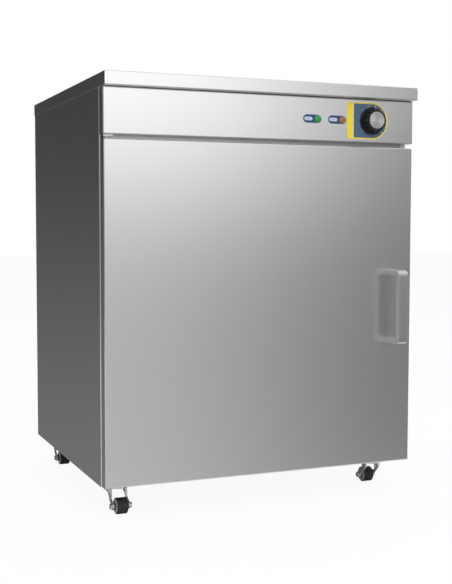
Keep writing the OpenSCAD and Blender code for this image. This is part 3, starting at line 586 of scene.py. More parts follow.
@dataclass(frozen=True)
class PrintedFilm:
    """Polyester film, screen printed: a flat colour under a fine embossed matt texture."""

    name: str
    colour: str
    roughness: float = 0.38
    emboss_mm: float = 0.3
    emboss_depth_mm: float = 0.01
    emboss_detail: float = 2.0
    emboss_strength: float = 0.2

    def build(self) -> bpy.types.Material:
        """Build the material.

        Returns:
            The material.
        """
        material, tree = empty_material(self.name)
        place = add_node(tree, "ShaderNodeTexCoord").outputs["Object"]
        emboss = add_node(
            tree,
            "ShaderNodeTexNoise",
            {},
            {"Vector": place, "Scale": 1 / (self.emboss_mm * MM), "Detail": self.emboss_detail},
        ).outputs["Fac"]
        bump = add_node(
            tree,
            "ShaderNodeBump",
            {},
            {"Height": emboss, "Strength": self.emboss_strength, "Distance": self.emboss_depth_mm * MM},
        ).outputs["Normal"]
        finish_surface(
            tree, {"Base Color": linear(self.colour), "Roughness": self.roughness, "Normal": bump}
        )
        return material


@dataclass(frozen=True)
class LatticeFilm:
    """Printed polyester film with a plain diamond lattice of fine pale lines on a dark ground."""

    name: str
    ground: str = "#0C2B50"
    line: str = "#7F9DB8"
    roughness: float = 0.38
    pitch_mm: float = 3.2
    line_share: float = 0.16

    def build(self) -> bpy.types.Material:
        """Build the material, with the lattice in the piece's XZ plane.

        Returns:
            The material.
        """
        material, tree = empty_material(self.name)
        place = add_node(tree, "ShaderNodeTexCoord").outputs["Object"]
        axes = add_node(tree, "ShaderNodeSeparateXYZ", {}, {"Vector": place}).outputs
        half_cell = self.pitch_mm * MM * math.sqrt(2) / 2
        covers = []
        for operation in ("ADD", "SUBTRACT"):
            diagonal = add_node(
                tree, "ShaderNodeMath", {"operation": operation}, {0: axes["X"], 1: axes["Z"]}
            ).outputs[0]
            cell = add_node(
                tree, "ShaderNodeMath", {"operation": "PINGPONG"}, {0: diagonal, 1: half_cell}
            ).outputs[0]
            cover = add_node(
                tree, "ShaderNodeMath", {"operation": "LESS_THAN"}, {0: cell, 1: half_cell * self.line_share}
            ).outputs[0]
            covers.append(cover)
        lines = add_node(
            tree, "ShaderNodeMath", {"operation": "MAXIMUM"}, {0: covers[0], 1: covers[1]}
        ).outputs[0]
        tone = add_node(
            tree,
            "ShaderNodeMix",
            {"data_type": "RGBA"},
            {"Factor": lines, COLOUR_A: linear(self.ground), COLOUR_B: linear(self.line)},
        ).outputs[COLOUR_MIX]
        finish_surface(tree, {"Base Color": tone, "Roughness": self.roughness})
        return material


FINISHES: dict[str, Finish] = {
    # Outer case: a pale steel that mirrors its surroundings softly and evenly.
    "satin_steel": SatinStainless("satin_stainless_sheet"),
    # Handle: blasted before it was bent, so a shade duller than the case, with soft lights on its bends.
    "handle_steel": SatinStainless("blasted_stainless_bar", "#CDCDCD", 0.38, grain_mm=0.7),
    # Unseen sheets: greyer and blurrier than the case.
    "rear_steel": MillStainless("mill_stainless_sheet"),
    # Heated chamber: the same sheet with a lighter colour and less roughness; the lighter colour is painted
    # light that lifts the dim inside.
    "liner_steel": MillStainless("mill_stainless_liner", "#D6D6D4", "#CDCDCC", 0.28),
    # Racks and shelves: thin bright lines with sharp lights.
    "bright_wire": PlatedSteel("nickel_plated_wire", "#E2E1DE", "#CFCECB", 0.16),
    # Casters' pressings: pale and a little blue, duller than the case.
    "caster_zinc": PlatedSteel("zinc_plated_pressing", "#E6E6E7", "#D4D4D6", 0.4),
    # Screws and bolts: the same plating, tumbled brighter.
    "fastener_zinc": PlatedSteel("zinc_plated_fastener", "#E0E0E1", "#CDCDCF", 0.32, mottle_mm=2.0),
    # Hinge plates: a warm, even grey.
    "hinge_steel": PlatedSteel("nickel_plated_hinge_plate", "#CFCFCF", "#C0C0C1", 0.36, mottle_mm=9.0),
    # Heating element: browned by its own heat.
    "element_steel": PlatedSteel("heat_tinted_element_sheath", "#7C7468", "#55504A", 0.42, mottle_mm=18.0),
    # Thermostat's capillary: soft copper, dulled by handling.
    "copper_tube": PlatedSteel("drawn_copper_tube", "#D79A78", "#B9795A", 0.3, mottle_mm=5.0),
    # Knob's cap: a silver disc with a fan of light.
    "knob_cap_metal": TurnedAluminium("turned_aluminium_cap"),
    # Knob's grip: black with a clear gloss, from a polished mould.
    "knob_black": MouldedPlastic("phenolic_knob_moulding", "#161617", "#0E0E0F", 0.27, 0.4, 0.01),
    # Thermostat: dull dark grey.
    "thermostat_case": MouldedPlastic("phenolic_thermostat_case", "#333335", "#28282A", 0.5),
    # Lamp bodies: plain off-white.
    "lamp_plastic": MouldedPlastic("white_nylon_lamp_body", "#EDECE8", "#DEDDD8", 0.4),
    # Safety cut-out: cream, and matt like pottery.
    "cutout_plastic": MouldedPlastic("ceramic_cut_out_case", "#DDD8C8", "#CFC9B6", 0.55),
    # Terminal strip: off-white, slightly waxy.
    "terminal_plastic": MouldedPlastic("white_nylon_terminal_strip", "#E9E8E4", "#DAD9D4", 0.42),
    # Leads inside the case: black, with a dull skin.
    "cable_sheath": MouldedPlastic("silicone_lead_sheath", "#1D1D1E", "#141415", 0.55),
    # Cable gland: black, with a weak sheen.
    "gland_nylon": MouldedPlastic("black_nylon_gland", "#232324", "#1A1A1B", 0.48),
    # Hinge bushes: mid grey, almost the tone of the steel round them.
    "hinge_nylon": MouldedPlastic("grey_acetal_bush", "#A6A7A9", "#9A9B9D", 0.4),
    # Door seal: dark grey and matt.
    "seal_rubber": MouldedPlastic("grey_silicone_seal", "#45464A", "#38393C", 0.62, 0.8, 0.04),
    # Door catch: dark grey, with a faint grain.
    "magnet_holder": MouldedPlastic("abs_magnet_holder", "#38383A", "#2E2E30", 0.5),
    # Treads: black, matt, with a coarser grain than the other mouldings.
    "wheel_tread": MouldedPlastic("hard_rubber_wheel", "#232325", "#19191B", 0.5, 0.9, 0.05),
    # Wheels' cores: a pale grey disc inside the black tread.
    "wheel_core": MouldedPlastic("grey_polypropylene_core", "#BFC0C0", "#AFB0B0", 0.45),
    # Lamps, both unlit: clear green, and a brownish amber.
    "lens_green": LensAcrylic("green_acrylic_lens", "#2FA343", "#15702A"),
    "lens_amber": LensAcrylic("amber_acrylic_lens", "#AE6F3A", "#7E4A24"),
    # Insulation: straw-coloured felt.
    "mineral_wool": MineralWool("mineral_wool_blanket"),
}


@cache
def material_of(slot: str) -> bpy.types.Material:
    """Material of a slot, built once."""
    return FINISHES[slot].build()


# ---------- mesh helpers ----------


class Face(Enum):
    """Upright face that a drawing lies on; the value is the way in which its u axis runs along X."""

    FRONT = 1
    BACK = -1


def arc(centre: Point, radius: float, start: float, end: float, steps: int) -> list[Point]:
    """Points on an arc, with both ends.

    Args:
        centre: The arc's centre.
        radius: Its radius.
        start: The angle at its first point, in degrees from +u.
        end: The angle at its last point.
        steps: How many straight steps it has.

    Returns:
        The points in order.
    """
    turns = [math.radians(start + (end - start) * i / steps) for i in range(steps + 1)]
    return [(centre[0] + radius * math.cos(a), centre[1] + radius * math.sin(a)) for a in turns]


def rounded_outline(left: float, right: float, low: float, high: float, radii: Point) -> list[Point]:
    """Outline of a rectangle whose left corners and right corners are round.

    Args:
        left: Its left edge.
        right: Its right edge.
        low: Its lower edge.
        high: Its upper edge.
        radii: The radius of the left corners and that of the right corners.

    Returns:
        The outline's points, anticlockwise.
    """
    r_left, r_right = radii
    return (
        arc((right - r_right, low + r_right), r_right, -90, 0, CORNER_STEPS)
        + arc((right - r_right, high - r_right), r_right, 0, 90, CORNER_STEPS)
        + arc((left + r_left, high - r_left), r_left, 90, 180, CORNER_STEPS)
        + arc((left + r_left, low + r_left), r_left, 180, 270, CORNER_STEPS)
    )


def prism(mesh: bmesh.types.BMesh, outline: list[Point], low: float, high: float) -> None:
    """Add a closed prism on an outline to a mesh.

    Args:
        mesh: The mesh that gets it.
        outline: The outline's points, anticlockwise; neighbours that coincide are joined.
        low: The height of its lower face.
        high: The height of its upper face.
    """
    kept = [p for i, p in enumerate(outline) if math.dist(p, outline[i - 1]) > JOIN_DISTANCE]
    lower = [mesh.verts.new((u, v, low)) for u, v in kept]
    upper = [mesh.verts.new((u, v, high)) for u, v in kept]
    mesh.faces.new(list(reversed(lower)))
    mesh.faces.new(upper)
    for i in range(len(kept)):
        mesh.faces.new((lower[i - 1], lower[i], upper[i], upper[i - 1]))


def revolve(mesh: bmesh.types.BMesh, section: list[Point], steps: int = ROUND_STEPS) -> None:
    """Add the body that a closed section makes when it turns round the height axis.

    Args:
        mesh: The mesh that gets it.
        section: The section's points, each a radius and a height; a radius of 0 lies on the axis.
        steps: How many faces it has round its axis.
    """
    poles = {k: mesh.verts.new((0, 0, h)) for k, (r, h) in enumerate(section) if r == 0}
    rings = []
    for i in range(steps):
        c, s = math.cos(math.tau * i / steps), math.sin(math.tau * i / steps)
        ring = [poles.get(k) or mesh.verts.new((r * c, r * s, h)) for k, (r, h) in enumerate(section)]
        rings.append(ring)
    for i in range(steps):
        for k in range(len(section)):
            corners = (rings[i - 1][k - 1], rings[i][k - 1], rings[i][k], rings[i - 1][k])
            kept = list(dict.fromkeys(corners))
            if len(kept) > 2:
                mesh.faces.new(kept)


def make_piece(
    name: str, mesh: bmesh.types.BMesh, place: Matrix, material: bpy.types.Material, body: str
) -> None:
    """Turn a mesh into a piece of the object that rides on a body.

    Args:
        name: The piece's name.
        mesh: Its mesh, which is freed.
        place: Where the mesh goes in the frame.
        material: Its material.
        body: The body that it moves with.
    """
    data = bpy.data.meshes.new(name)
    bmesh.ops.transform(mesh, matrix=place, verts=mesh.verts)
    bmesh.ops.recalc_face_normals(mesh, faces=mesh.faces)
    mesh.to_mesh(data)
    mesh.free()
    data.shade_smooth()
    data.set_sharp_from_angle(angle=math.radians(SHARP_ANGLE))
    data.materials.append(material)
    piece = bpy.data.objects.new(name, data)
    bpy.context.scene.collection.objects.link(piece)
    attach(piece, body)
    log.info("piece %s rides on %s", name, body)


def on_face(face: Face, x: float, y: float, z: float) -> Matrix:
    """Place for a drawing on an upright face.

    Args:
        face: The face that it lies on.
        x: Where the drawing's origin goes.
        y: The same, along Y.
        z: The same, along Z.

    Returns:
        The place, in which u goes right, v goes up, and height stands out of the face.
    """
    way = face.value
    return Matrix(((way, 0, 0, x), (0, 0, -way, y), (0, 1, 0, z), (0, 0, 0, 1)))


def along(axis: Vector, centre: Vector) -> Matrix:
    """Place for a turned piece: its height axis lies along axis, and its origin is at centre."""
    return Matrix.LocRotScale(centre, axis.to_track_quat("Z", "Y"), None)


def middle(node: str) -> Vector:
    """Middle of a node's box."""
    low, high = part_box(node)
    return (low + high) / 2


# ---------- control panel ----------


class Lamp(Enum):
    """Indicator lamps on the fascia, by the colour of their lenses."""

    GREEN = "green"
    AMBER = "amber"


class Film(Enum):
    """Printed films and inks on the fascia, each with its finish."""

    FIELD = LatticeFilm("blue_lattice_film")
    LABEL = PrintedFilm("blue_printed_film", "#263F6B")
    PLATE = PrintedFilm("yellow_printed_film", "#E8CF1E")
    INK = PrintedFilm("white_printed_film", "#C9D2DD")
    WINDOW = PrintedFilm("pale_blue_printed_film", "#AFBDD6")


@dataclass
class ControlPanel:
    """Printed plate round the knob, its scale, and the two lamp labels, all stuck on the fascia."""

    plate_left_mm: float = 51.0
    plate_right_mm: float = 33.0
    plate_half_mm: float = 33.0
    plate_corner_mm: float = 7.0
    film_mm: float = 0.25
    print_mm: float = 0.04
    band_mm: float = 12.0
    rule_mm: float = 1.2
    rim_mm: float = 2.2
    number_radius_mm: float = 27.6
    number_size_mm: float = 3.78  # the font's size; its figures stand about three quarters as high
    number_step: int = 10
    number_count: int = 10
    first_angle: float = 225.0
    angle_step: float = 30.0
    label_left_mm: float = 29.2
    label_right_mm: float = 7.4
    label_half_mm: float = 7.4
    window_left_mm: float = 27.2
    window_right_mm: float = 10.6
    window_half_mm: float = 3.3
    skirt_mm: float = 3.5
    mark_from_mm: float = 22.4
    mark_to_mm: float = 24.4
    mark_width_mm: float = 1.4
    mark_angle: float = 75.0

    def build(self) -> None:
        """Build every printed piece on the fascia and the knob."""
        films = {film: film.value.build() for film in Film}
        face_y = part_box("control_fascia")[0].y
        knob = middle("knob_skirt")
        place = on_face(Face.FRONT, knob.x, face_y, knob.z)
        self.plate(place, films)
        self.scale(place, films)
        self.knob_mark(on_face(Face.FRONT, knob.x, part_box("knob_skirt")[1].y, knob.z), films)
        for lamp in Lamp:
            lens = middle(f"lamp_lens_{lamp.value}")
            self.label(lamp, on_face(Face.FRONT, lens.x, face_y, lens.z), films)

    def plate(self, place: Matrix, films: dict[Film, bpy.types.Material]) -> None:
        """Build the plate: yellow, with a blue field inset in it and a white rule at the field's left.

        Args:
            place: The knob's centre on the fascia.
            films: The printed films' materials.
        """
        left, right = -self.plate_left_mm * MM, self.plate_right_mm * MM
        half, film, top = self.plate_half_mm * MM, self.film_mm * MM, (self.film_mm + self.print_mm) * MM
        rule, rim = self.rule_mm * MM, self.rim_mm * MM
        split, inset = left + self.band_mm * MM, half - rim
        ground = bmesh.new()
        corners = (self.plate_corner_mm * MM, half - rule)
        prism(ground, rounded_outline(left, right, -half, half, corners), 0, film)
        make_piece("dial_plate", ground, place, films[Film.PLATE], "cabinet")
        field = bmesh.new()
        outline = rounded_outline(split + rule, right - rim, -inset, inset, (rule / 2, inset - rule))
        prism(field, outline, film, top)
        make_piece("dial_field", field, place, films[Film.FIELD], "cabinet")
        line = bmesh.new()
        prism(line, rounded_outline(split, split + rule, -inset, inset, (rule / 4, rule / 4)), film, top)
        make_piece("dial_rule", line, place, films[Film.INK], "cabinet")

    def scale(self, place: Matrix, films: dict[Film, bpy.types.Material]) -> None:
        """Build the scale's numbers, each upright, at even steps round the knob.

        Args:
            place: The knob's centre on the fascia.
            films: The printed films' materials.
        """
        joined = bmesh.new()
        radius, height = self.number_radius_mm * MM, (self.film_mm + 2 * self.print_mm) * MM
        for i in range(self.number_count):
            angle = math.radians(self.first_angle - i * self.angle_step)
            text = bpy.data.curves.new(f"number_{i}", "FONT")
            text.body = str(i * self.number_step)
            text.size = self.number_size_mm * MM
            text.align_x = "CENTER"
            text.align_y = "CENTER"
            text.extrude = self.print_mm * MM / 2
            holder = bpy.data.objects.new(f"number_{i}", text)
            shape = bpy.data.meshes.new_from_object(holder)
            shift = Vector((radius * math.cos(angle), radius * math.sin(angle), height))
            shape.transform(Matrix.Translation(shift))
            joined.from_mesh(shape)
            bpy.data.objects.remove(holder)
            bpy.data.meshes.remove(shape)
        make_piece("dial_numbers", joined, place, films[Film.INK], "cabinet")

    def knob_mark(self, place: Matrix, films: dict[Film, bpy.types.Material]) -> None:
        """Build the printed line on the knob's skirt that points to the scale.

        Args:
            place: The centre of the knob's back.
            films: The printed films' materials.
        """
        half, face = self.mark_width_mm * MM / 2, self.skirt_mm * MM
        left, right = self.mark_from_mm * MM, self.mark_to_mm * MM
        outline = rounded_outline(left, right, -half, half, (half / 2, half / 2))
        mark = bmesh.new()
        prism(mark, outline, face, face + self.print_mm * MM)
        turned = place @ Matrix.Rotation(math.radians(self.mark_angle), 4, "Z")
        make_piece("knob_mark", mark, turned, films[Film.INK], "knob")

    def label(self, lamp: Lamp, place: Matrix, films: dict[Film, bpy.types.Material]) -> None:
        """Build one lamp's label: a blue capsule with a pale window beside the lens.

        Args:
            lamp: The lamp that it belongs to.
            place: The lens's centre on the fascia.
            films: The printed films' materials.
        """
        film, top = self.film_mm * MM, (self.film_mm + self.print_mm) * MM
        capsule = bmesh.new()
        left, right, half = -self.label_left_mm * MM, self.label_right_mm * MM, self.label_half_mm * MM
        prism(capsule, rounded_outline(left, right, -half, half, (half, half)), 0, film)
        make_piece(f"lamp_label_{lamp.value}", capsule, place, films[Film.LABEL], "cabinet")
        window = bmesh.new()
        left, right, half = -self.window_left_mm * MM, -self.window_right_mm * MM, self.window_half_mm * MM
        prism(window, rounded_outline(left, right, -half, half, (half, half)), film, top)
        make_piece(f"lamp_window_{lamp.value}", window, place, films[Film.WINDOW], "cabinet")


# ---------- casters ----------


class WheelSide(Enum):
    """Sides of a wheel; the value is the way in which each looks along the axle's axis."""

    OUTER = -1
    INNER = 1


@dataclass
class CasterCores:
    """Grey cores of the casters' wheels, which show on both sides inside the black treads."""

    hub_mm: float = 6.2
    hub_rim_mm: float = 1.2
    web_mm: float = 8.4
    step_mm: float = 11.2
    tread_mm: float = 1.4  # how much of the wheel's radius the tread takes
    rim_mm: float = 2.2
    slope_mm: float = 1.2
    half_mm: float = 10.0
    foot_mm: float = 8.0
    proud_mm: float = 0.15

    def build(self) -> None:
        """Build both cores of each wheel, in line with its own axle."""
        for joint in frame["joints"]:
            if joint["name"].startswith("spin_"):
                place = joint["name"].removeprefix("spin_")
                axis = Vector(joint["axis"]).normalized()
                for side in WheelSide:
                    name = f"wheel_core_{place}_{side.name.lower()}"
                    self.core(name, f"wheel_{place}", side.value * axis, joint["child"])

    def core(self, name: str, wheel: str, axis: Vector, body: str) -> None:
        """Build one core: a ring that fills the wheel's side from its hub to its tread.

        Args:
            name: The piece's name.
            wheel: The wheel's node.
            axis: The direction out of the side that it fills.
            body: The body that it turns with.
        """
        low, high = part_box(wheel)
        edge = (high.z - low.z) / 2 / MM - self.tread_mm
        face = self.half_mm + self.proud_mm
        section = [
            (self.hub_mm, self.foot_mm),
            (self.step_mm, self.foot_mm),
            (self.step_mm, self.half_mm),
            (edge, self.half_mm),
            (edge, face),
            (edge - self.rim_mm, face),
            (edge - self.rim_mm - self.slope_mm, self.web_mm),
            (self.hub_mm + self.hub_rim_mm, self.web_mm),
            (self.hub_mm, face),
        ]
        mesh = bmesh.new()
        revolve(mesh, [(r * MM, h * MM) for r, h in section])
        place = along(axis, (low + high) / 2)
        make_piece(name, mesh, place, material_of("wheel_core"), body)


# ---------- back ----------


@dataclass
class RearScrews:
    """Hexagon washer-head screws that hold the rear panel, set in from its edges."""

    inset_mm: float = 13.0
    rows: int = 4
    washer_mm: float = 5.2
    washer_height_mm: float = 0.9
    head_mm: float = 4.2
    head_height_mm: float = 3.6
    head_sides: int = 6
    crown_mm: float = 3.57
    crown_top_mm: float = 2.94
    ease_mm: float = 0.5
    round_steps: int = 32

    def build(self) -> None:
        """Build the screws up both sides of the panel, and one in the middle of its lower edge."""
        low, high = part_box("rear_panel")
        inset = self.inset_mm * MM
        spots = [(0.0, low.z + inset)]
        for row in range(self.rows):
            z = low.z + inset + (high.z - low.z - 2 * inset) * row / (self.rows - 1)
            spots += [(low.x + inset, z), (high.x - inset, z)]
        for i, (x, z) in enumerate(spots):
            place = on_face(Face.BACK, x, high.y, z)
            finish = material_of("fastener_zinc")
            make_piece(f"rear_screw_{i + 1}", self.head(), place, finish, "cabinet")

    def head(self) -> bmesh.types.BMesh:
        """Build one screw's head: a washer, and a hexagon with an eased crown.

        Returns:
            The head's mesh.
        """
        mesh = bmesh.new()
        rim, foot = self.washer_mm * MM, self.washer_height_mm * MM
        top, ease = self.head_height_mm * MM, self.ease_mm * MM
        crown, crown_top = self.crown_mm * MM, self.crown_top_mm * MM
        washer = [(0, 0), (rim, 0), (rim, foot / 2), (rim - ease, foot), (0, foot)]
        revolve(mesh, washer, self.round_steps)
        last = self.head_sides - 1
        hexagon = arc((0, 0), self.head_mm * MM, 0, 360 * last / self.head_sides, last)
        prism(mesh, hexagon, foot / 2, top - ease)
        dome = [(0, top - 2 * ease), (crown, top - ease), (crown_top, top), (0, top)]
        revolve(mesh, dome, self.round_steps)
        return mesh


# ---------- camera ----------


@dataclass(frozen=True)
class Camera:
    """The photograph's camera, solved from the cabinet's edges."""

    place: Triple = (-0.7809, -1.8714, 0.5005)
    turn: float = 21.507  # from +Y towards +X, in degrees
    dip: float = 3.671  # below the horizon, in degrees
    lens_mm: float = 62.61
    shift_x: float = 0.0545

    def build(self) -> None:
        """Add the camera and make it the scene's own."""
        data = bpy.data.cameras.new("studio_camera")
        data.lens = self.lens_mm
        data.shift_x = self.shift_x
        camera = bpy.data.objects.new("studio_camera", data)
        camera.location = self.place
        camera.rotation_euler = (math.radians(90 - self.dip), 0.0, math.radians(-self.turn))
        bpy.context.scene.collection.objects.link(camera)
        bpy.context.scene.camera = camera


# ---------- stage ----------


def stage_piece(name: str, mesh: bmesh.types.BMesh, material: bpy.types.Material) -> bpy.types.Object:
    """Turn a mesh into a piece of the stage.

    Args:
        name: The piece's name.
        mesh: Its mesh, which is freed.
        material: Its material.

    Returns:
        The new piece.
    """
    data = bpy.data.meshes.new(name)
    mesh.to_mesh(data)
    mesh.free()
    data.materials.append(material)
    piece = bpy.data.objects.new(name, data)
    bpy.context.scene.collection.objects.link(piece)
    return piece


@dataclass(frozen=True)
class Softbox:
    """Rectangular lamp that lights the object, and that neither the camera nor the steel shows."""

    name: str
    place: Triple
    aim: Triple
    size: Point
    power: float  # in watts

    def build(self) -> None:
        """Hang the lamp and aim it."""
        data = bpy.data.lights.new(self.name, "AREA")
        data.shape = "RECTANGLE"
        data.size, data.size_y = self.size
        data.energy = self.power
        lamp = bpy.data.objects.new(self.name, data)
        lamp.location = self.place
        lamp.rotation_euler = (Vector(self.aim) - Vector(self.place)).to_track_quat("-Z", "Y").to_euler()
        lamp.visible_camera = False
        lamp.visible_glossy = False
        bpy.context.scene.collection.objects.link(lamp)


@dataclass
class Studio:
    """Pale floor, white surroundings and soft lamps."""

    floor_side: float = 30.0
    floor_colour: str = "#F6F6F6"
    floor_glow: float = 0.935  # share of plain white that the camera sees in the floor
    soft_light: float = 0.6
    softboxes: tuple[Softbox, ...] = (
        Softbox("overhead_softbox", (0.2, 0.0, 2.6), (0.0, 0.0, 0.0), (2.6, 2.6), 30.0),
        Softbox("front_left_softbox", (-0.4, -3.2, 2.4), (0.0, 0.0, 0.6), (2.2, 1.6), 40.0),
    )

    def build(self) -> None:
        """Build the floor, the surroundings and the lamps."""
        self.floor()
        self.surroundings()
        for softbox in self.softboxes:
            softbox.build()

    def floor(self) -> None:
        """Build the floor: white where it is in full light, and darker under the object."""
        material, tree = empty_material("studio_floor")
        diffuse = add_node(tree, "ShaderNodeBsdfDiffuse", {}, {"Color": linear(self.floor_colour)}).outputs[0]
        glow = add_node(tree, "ShaderNodeEmission", {}, {"Color": WHITE, "Strength": 1.0}).outputs[0]
        path = add_node(tree, "ShaderNodeLightPath").outputs
        seen = add_node(
            tree,
            "ShaderNodeMath",
            {"operation": "MULTIPLY"},
            {0: path["Is Camera Ray"], 1: self.floor_glow},
        ).outputs[0]
        mixed = add_node(tree, "ShaderNodeMixShader", {}, {0: seen, 1: diffuse, 2: glow}).outputs[0]
        add_node(tree, "ShaderNodeOutputMaterial", {}, {"Surface": mixed})
        mesh = bmesh.new()
        half = self.floor_side / 2
        corners = ((-half, -half), (half, -half), (half, half), (-half, half))
        mesh.faces.new([mesh.verts.new((x, y, 0)) for x, y in corners])
        stage_piece("studio_floor", mesh, material)

    def surroundings(self) -> None:
        """Set the surroundings: white to the camera and in reflections, soft light elsewhere."""
        world = bpy.data.worlds.new("studio_surroundings")
        bpy.context.scene.world = world
        world.use_nodes = True
        tree = world.node_tree
        tree.nodes.clear()
        path = add_node(tree, "ShaderNodeLightPath").outputs
        seen = path["Is Camera Ray"]
        for ray in ("Is Glossy Ray", "Is Transmission Ray"):
            seen = add_node(
                tree, "ShaderNodeMath", {"operation": "MAXIMUM"}, {0: seen, 1: path[ray]}
            ).outputs[0]
        strength = add_node(
            tree, "ShaderNodeMapRange", {}, {"Value": seen, "To Min": self.soft_light, "To Max": 1.0}
        ).outputs["Result"]
        light = add_node(tree, "ShaderNodeBackground", {}, {"Color": WHITE, "Strength": strength}).outputs[0]
        add_node(tree, "ShaderNodeOutputWorld", {}, {"Surface": light})


# ---------- reflections ----------


def between(low: float, high: float, share: float) -> float:
    """Value that lies a share of the way from low to high."""
    return low + (high - low) * share


@dataclass(frozen=True)
class Fade:
    """Smooth change between two levels as a bearing or a height grows from start to end."""

    start: float
    end: float
    before: float = 0.0
    after: float = 1.0

    def at(self, value: float) -> float:
        """Level at a bearing or a height."""
        share = min(max((value - self.start) / (self.end - self.start), 0.0), 1.0)
        return between(self.before, self.after, share * share * (3 - 2 * share))


@dataclass(frozen=True)
class FrontLight:
    """Brightness of what the front mirrors: bright at the upper left, dark at the right.

    The door's left edge is at a bearing of 0.3 and its right edge at 0.66. The door reaches from a height
    of -0.27 up to 0.09, the fascia's middle is at 0.12 and the slab's edge at 0.15.
    """

    fascia: Fade = Fade(0.35, 0.73, 1.38, 0.20)
    slab: Fade = Fade(0.50, 0.70, 0.20, 0.28)  # what the slab's edge shows beyond the fascia's level
    door: Fade = Fade(0.25, 0.71, 0.55, 0.19)
    foot: Fade = Fade(0.25, 0.70, 0.575, 0.255)
    outside: float = 0.68  # further left than the front shows the camera
    foot_to_door: Fade = Fade(-0.30, -0.12)
    door_to_fascia: Fade = Fade(-0.05, 0.15)
    fascia_to_slab: Fade = Fade(0.13, 0.17)
    outside_to_front: Fade = Fade(-0.10, 0.26)
    overhead: Fade = Fade(0.18, 0.32, 1.0, 0.5)  # dimmer above, where the worktop mirrors it

    def level(self, bearing: float, height: float) -> float:
        """Brightness at one point.

        Args:
            bearing: Sideways distance over distance ahead.
            height: Upward distance over distance ahead.

        Returns:
            The strength of its glow.
        """
        top = self.fascia.at(bearing) + self.slab.at(bearing) * self.fascia_to_slab.at(height)
        low = between(self.foot.at(bearing), self.door.at(bearing), self.foot_to_door.at(height))
        seen = between(low, top, self.door_to_fascia.at(height)) * self.overhead.at(height)
        return between(self.outside, seen, self.outside_to_front.at(bearing))


@dataclass(frozen=True)
class EvenLight:
    """Brightness that changes with the height alone."""

    fade: Fade

    def level(self, bearing: float, height: float) -> float:
        """Brightness at a height, whatever the bearing."""
        return self.fade.at(height)


@dataclass(frozen=True)
class Screen:
    """Graduated screen that only reflections see, shaped as a cove: upright, then out along the floor.

    Its brightness follows the bearing and the height at which a mirror-flat side of the object shows it.
    """

    name: str
    eye: Triple  # where the camera appears to stand behind that side
    ahead: Point  # the direction in which that side looks
    across: Point  # level direction of growing bearing
    bearings: Point
    heights: Point
    reach: float  # distance from the eye to the upright part, along ahead
    level: Callable[[float, float], float]
    steps: int = 60
    floor_gap_mm: float = 2.0

    def build(self) -> None:
        """Build the screen with one brightness at each of its points."""
        mesh = bmesh.new()
        layer = mesh.verts.layers.float.new("level")
        rows = []
        for j in range(self.steps + 1):
            height = between(*self.heights, j / self.steps)
            row = []
            for i in range(self.steps + 1):
                bearing = between(*self.bearings, i / self.steps)
                spot = mesh.verts.new(self.point(bearing, height))
                spot[layer] = self.level(bearing, height)
                row.append(spot)
            rows.append(row)
        for j in range(self.steps):
            for i in range(self.steps):
                mesh.faces.new((rows[j][i], rows[j][i + 1], rows[j + 1][i + 1], rows[j + 1][i]))
        material, tree = empty_material(self.name)
        level = add_node(tree, "ShaderNodeAttribute", {"attribute_name": "level"}).outputs["Fac"]
        glow = add_node(tree, "ShaderNodeEmission", {}, {"Color": WHITE, "Strength": level}).outputs[0]
        add_node(tree, "ShaderNodeOutputMaterial", {}, {"Surface": glow})
        piece = stage_piece(self.name, mesh, material)
        piece.visible_camera = False
        piece.visible_diffuse = False
        piece.visible_transmission = False
        piece.visible_shadow = False

    def point(self, bearing: float, height: float) -> Triple:
        """Where the screen stands in one direction.

        Args:
            bearing: Sideways distance over distance ahead.
            height: Upward distance over distance ahead.

        Returns:
            The point, on the upright part or just over the floor.
        """
        reach = self.reach
        if height < 0:
            reach = min(reach, (self.eye[2] - self.floor_gap_mm * MM) / -height)
        return (
            self.eye[0] + reach * (self.ahead[0] + bearing * self.across[0]),
            self.eye[1] + reach * (self.ahead[1] + bearing * self.across[1]),
            self.eye[2] + reach * height,
        )


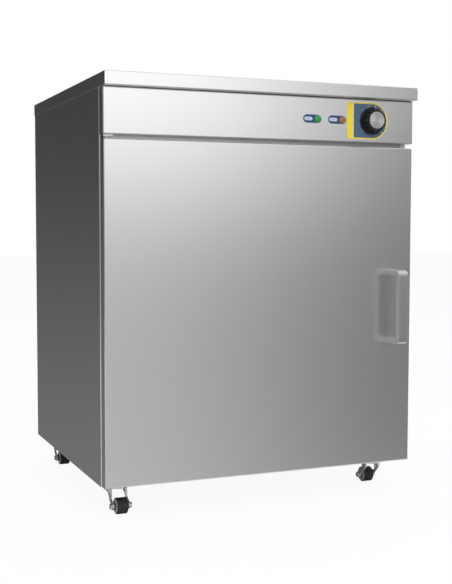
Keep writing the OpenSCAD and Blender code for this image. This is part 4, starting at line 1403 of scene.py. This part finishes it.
@dataclass(frozen=True)
class Reflections:
    """The three screens, each set where one side of the cabinet mirrors it to the camera."""

    camera: Camera
    side_fade: Fade = Fade(-0.36, 0.16, 0.206, 0.045)  # dark, and less so near the floor
    corner_fade: Fade = Fade(-0.02, 0.10, 0.17, 0.40)  # lighter beside the fascia
    far_reach: float = 3.9
    near_reach: float = 3.2

    def build(self) -> None:
        """Build the screens for the front, the left side and the bends between them."""
        self.front()
        self.side()
        self.corner()

    def front(self) -> None:
        """Build the screen that the door and the fascia mirror."""
        eye_x, eye_y, eye_z = self.camera.place
        Screen(
            "front_screen",
            eye=(eye_x, 2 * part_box("door_outer_skin")[0].y - eye_y, eye_z),
            ahead=(0.0, -1.0),
            across=(1.0, 0.0),
            bearings=(-0.2, 1.6),
            heights=(-0.29, 0.5),
            reach=self.far_reach,
            level=FrontLight().level,
        ).build()

    def side(self) -> None:
        """Build the screen that the left side mirrors."""
        eye_x, eye_y, eye_z = self.camera.place
        Screen(
            "side_screen",
            eye=(2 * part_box("side_panel_left")[0].x - eye_x, eye_y, eye_z),
            ahead=(0.0, 1.0),
            across=(-1.0, 0.0),
            bearings=(0.16, 0.8),
            heights=(-0.30, 0.6),
            reach=self.near_reach,
            level=EvenLight(self.side_fade).level,
        ).build()

    def corner(self) -> None:
        """Build the screen that the middle of the front left bends mirrors."""
        eye_x, eye_y, eye_z = self.camera.place
        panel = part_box("side_panel_left")[0]
        bend = Vector((panel.x, panel.y))
        outward = Vector((-1.0, -1.0)).normalized()
        seen = bend - Vector((eye_x, eye_y))
        ahead = (seen - 2 * seen.dot(outward) * outward).normalized()
        eye = bend - ahead * seen.length
        Screen(
            "corner_screen",
            eye=(eye.x, eye.y, eye_z),
            ahead=(ahead.x, ahead.y),
            across=(-ahead.y, ahead.x),
            bearings=(-1.28, 1.28),
            heights=(-0.12, 0.5),
            reach=self.far_reach,
            level=EvenLight(self.corner_fade).level,
        ).build()


# ---------- assembly ----------


def dress_nodes() -> None:
    """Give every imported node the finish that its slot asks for."""
    for name, node in sorted(frame["nodes"].items()):
        for holder in node.material_slots:
            holder.material = material_of(holder.material.name.split(".")[0])
            log.info("node %s has finish %s", name, holder.material.name)


def main() -> None:
    """Build the finishes, the trim, the camera, the stage and the reflections."""
    logging.basicConfig(level=logging.INFO, format="%(name)s: %(message)s")
    bpy.context.scene.view_settings.view_transform = "Standard"
    camera = Camera()
    camera.build()
    dress_nodes()
    ControlPanel().build()
    CasterCores().build()
    RearScrews().build()
    Studio().build()
    Reflections(camera).build()


if __name__ == "__main__":
    main()
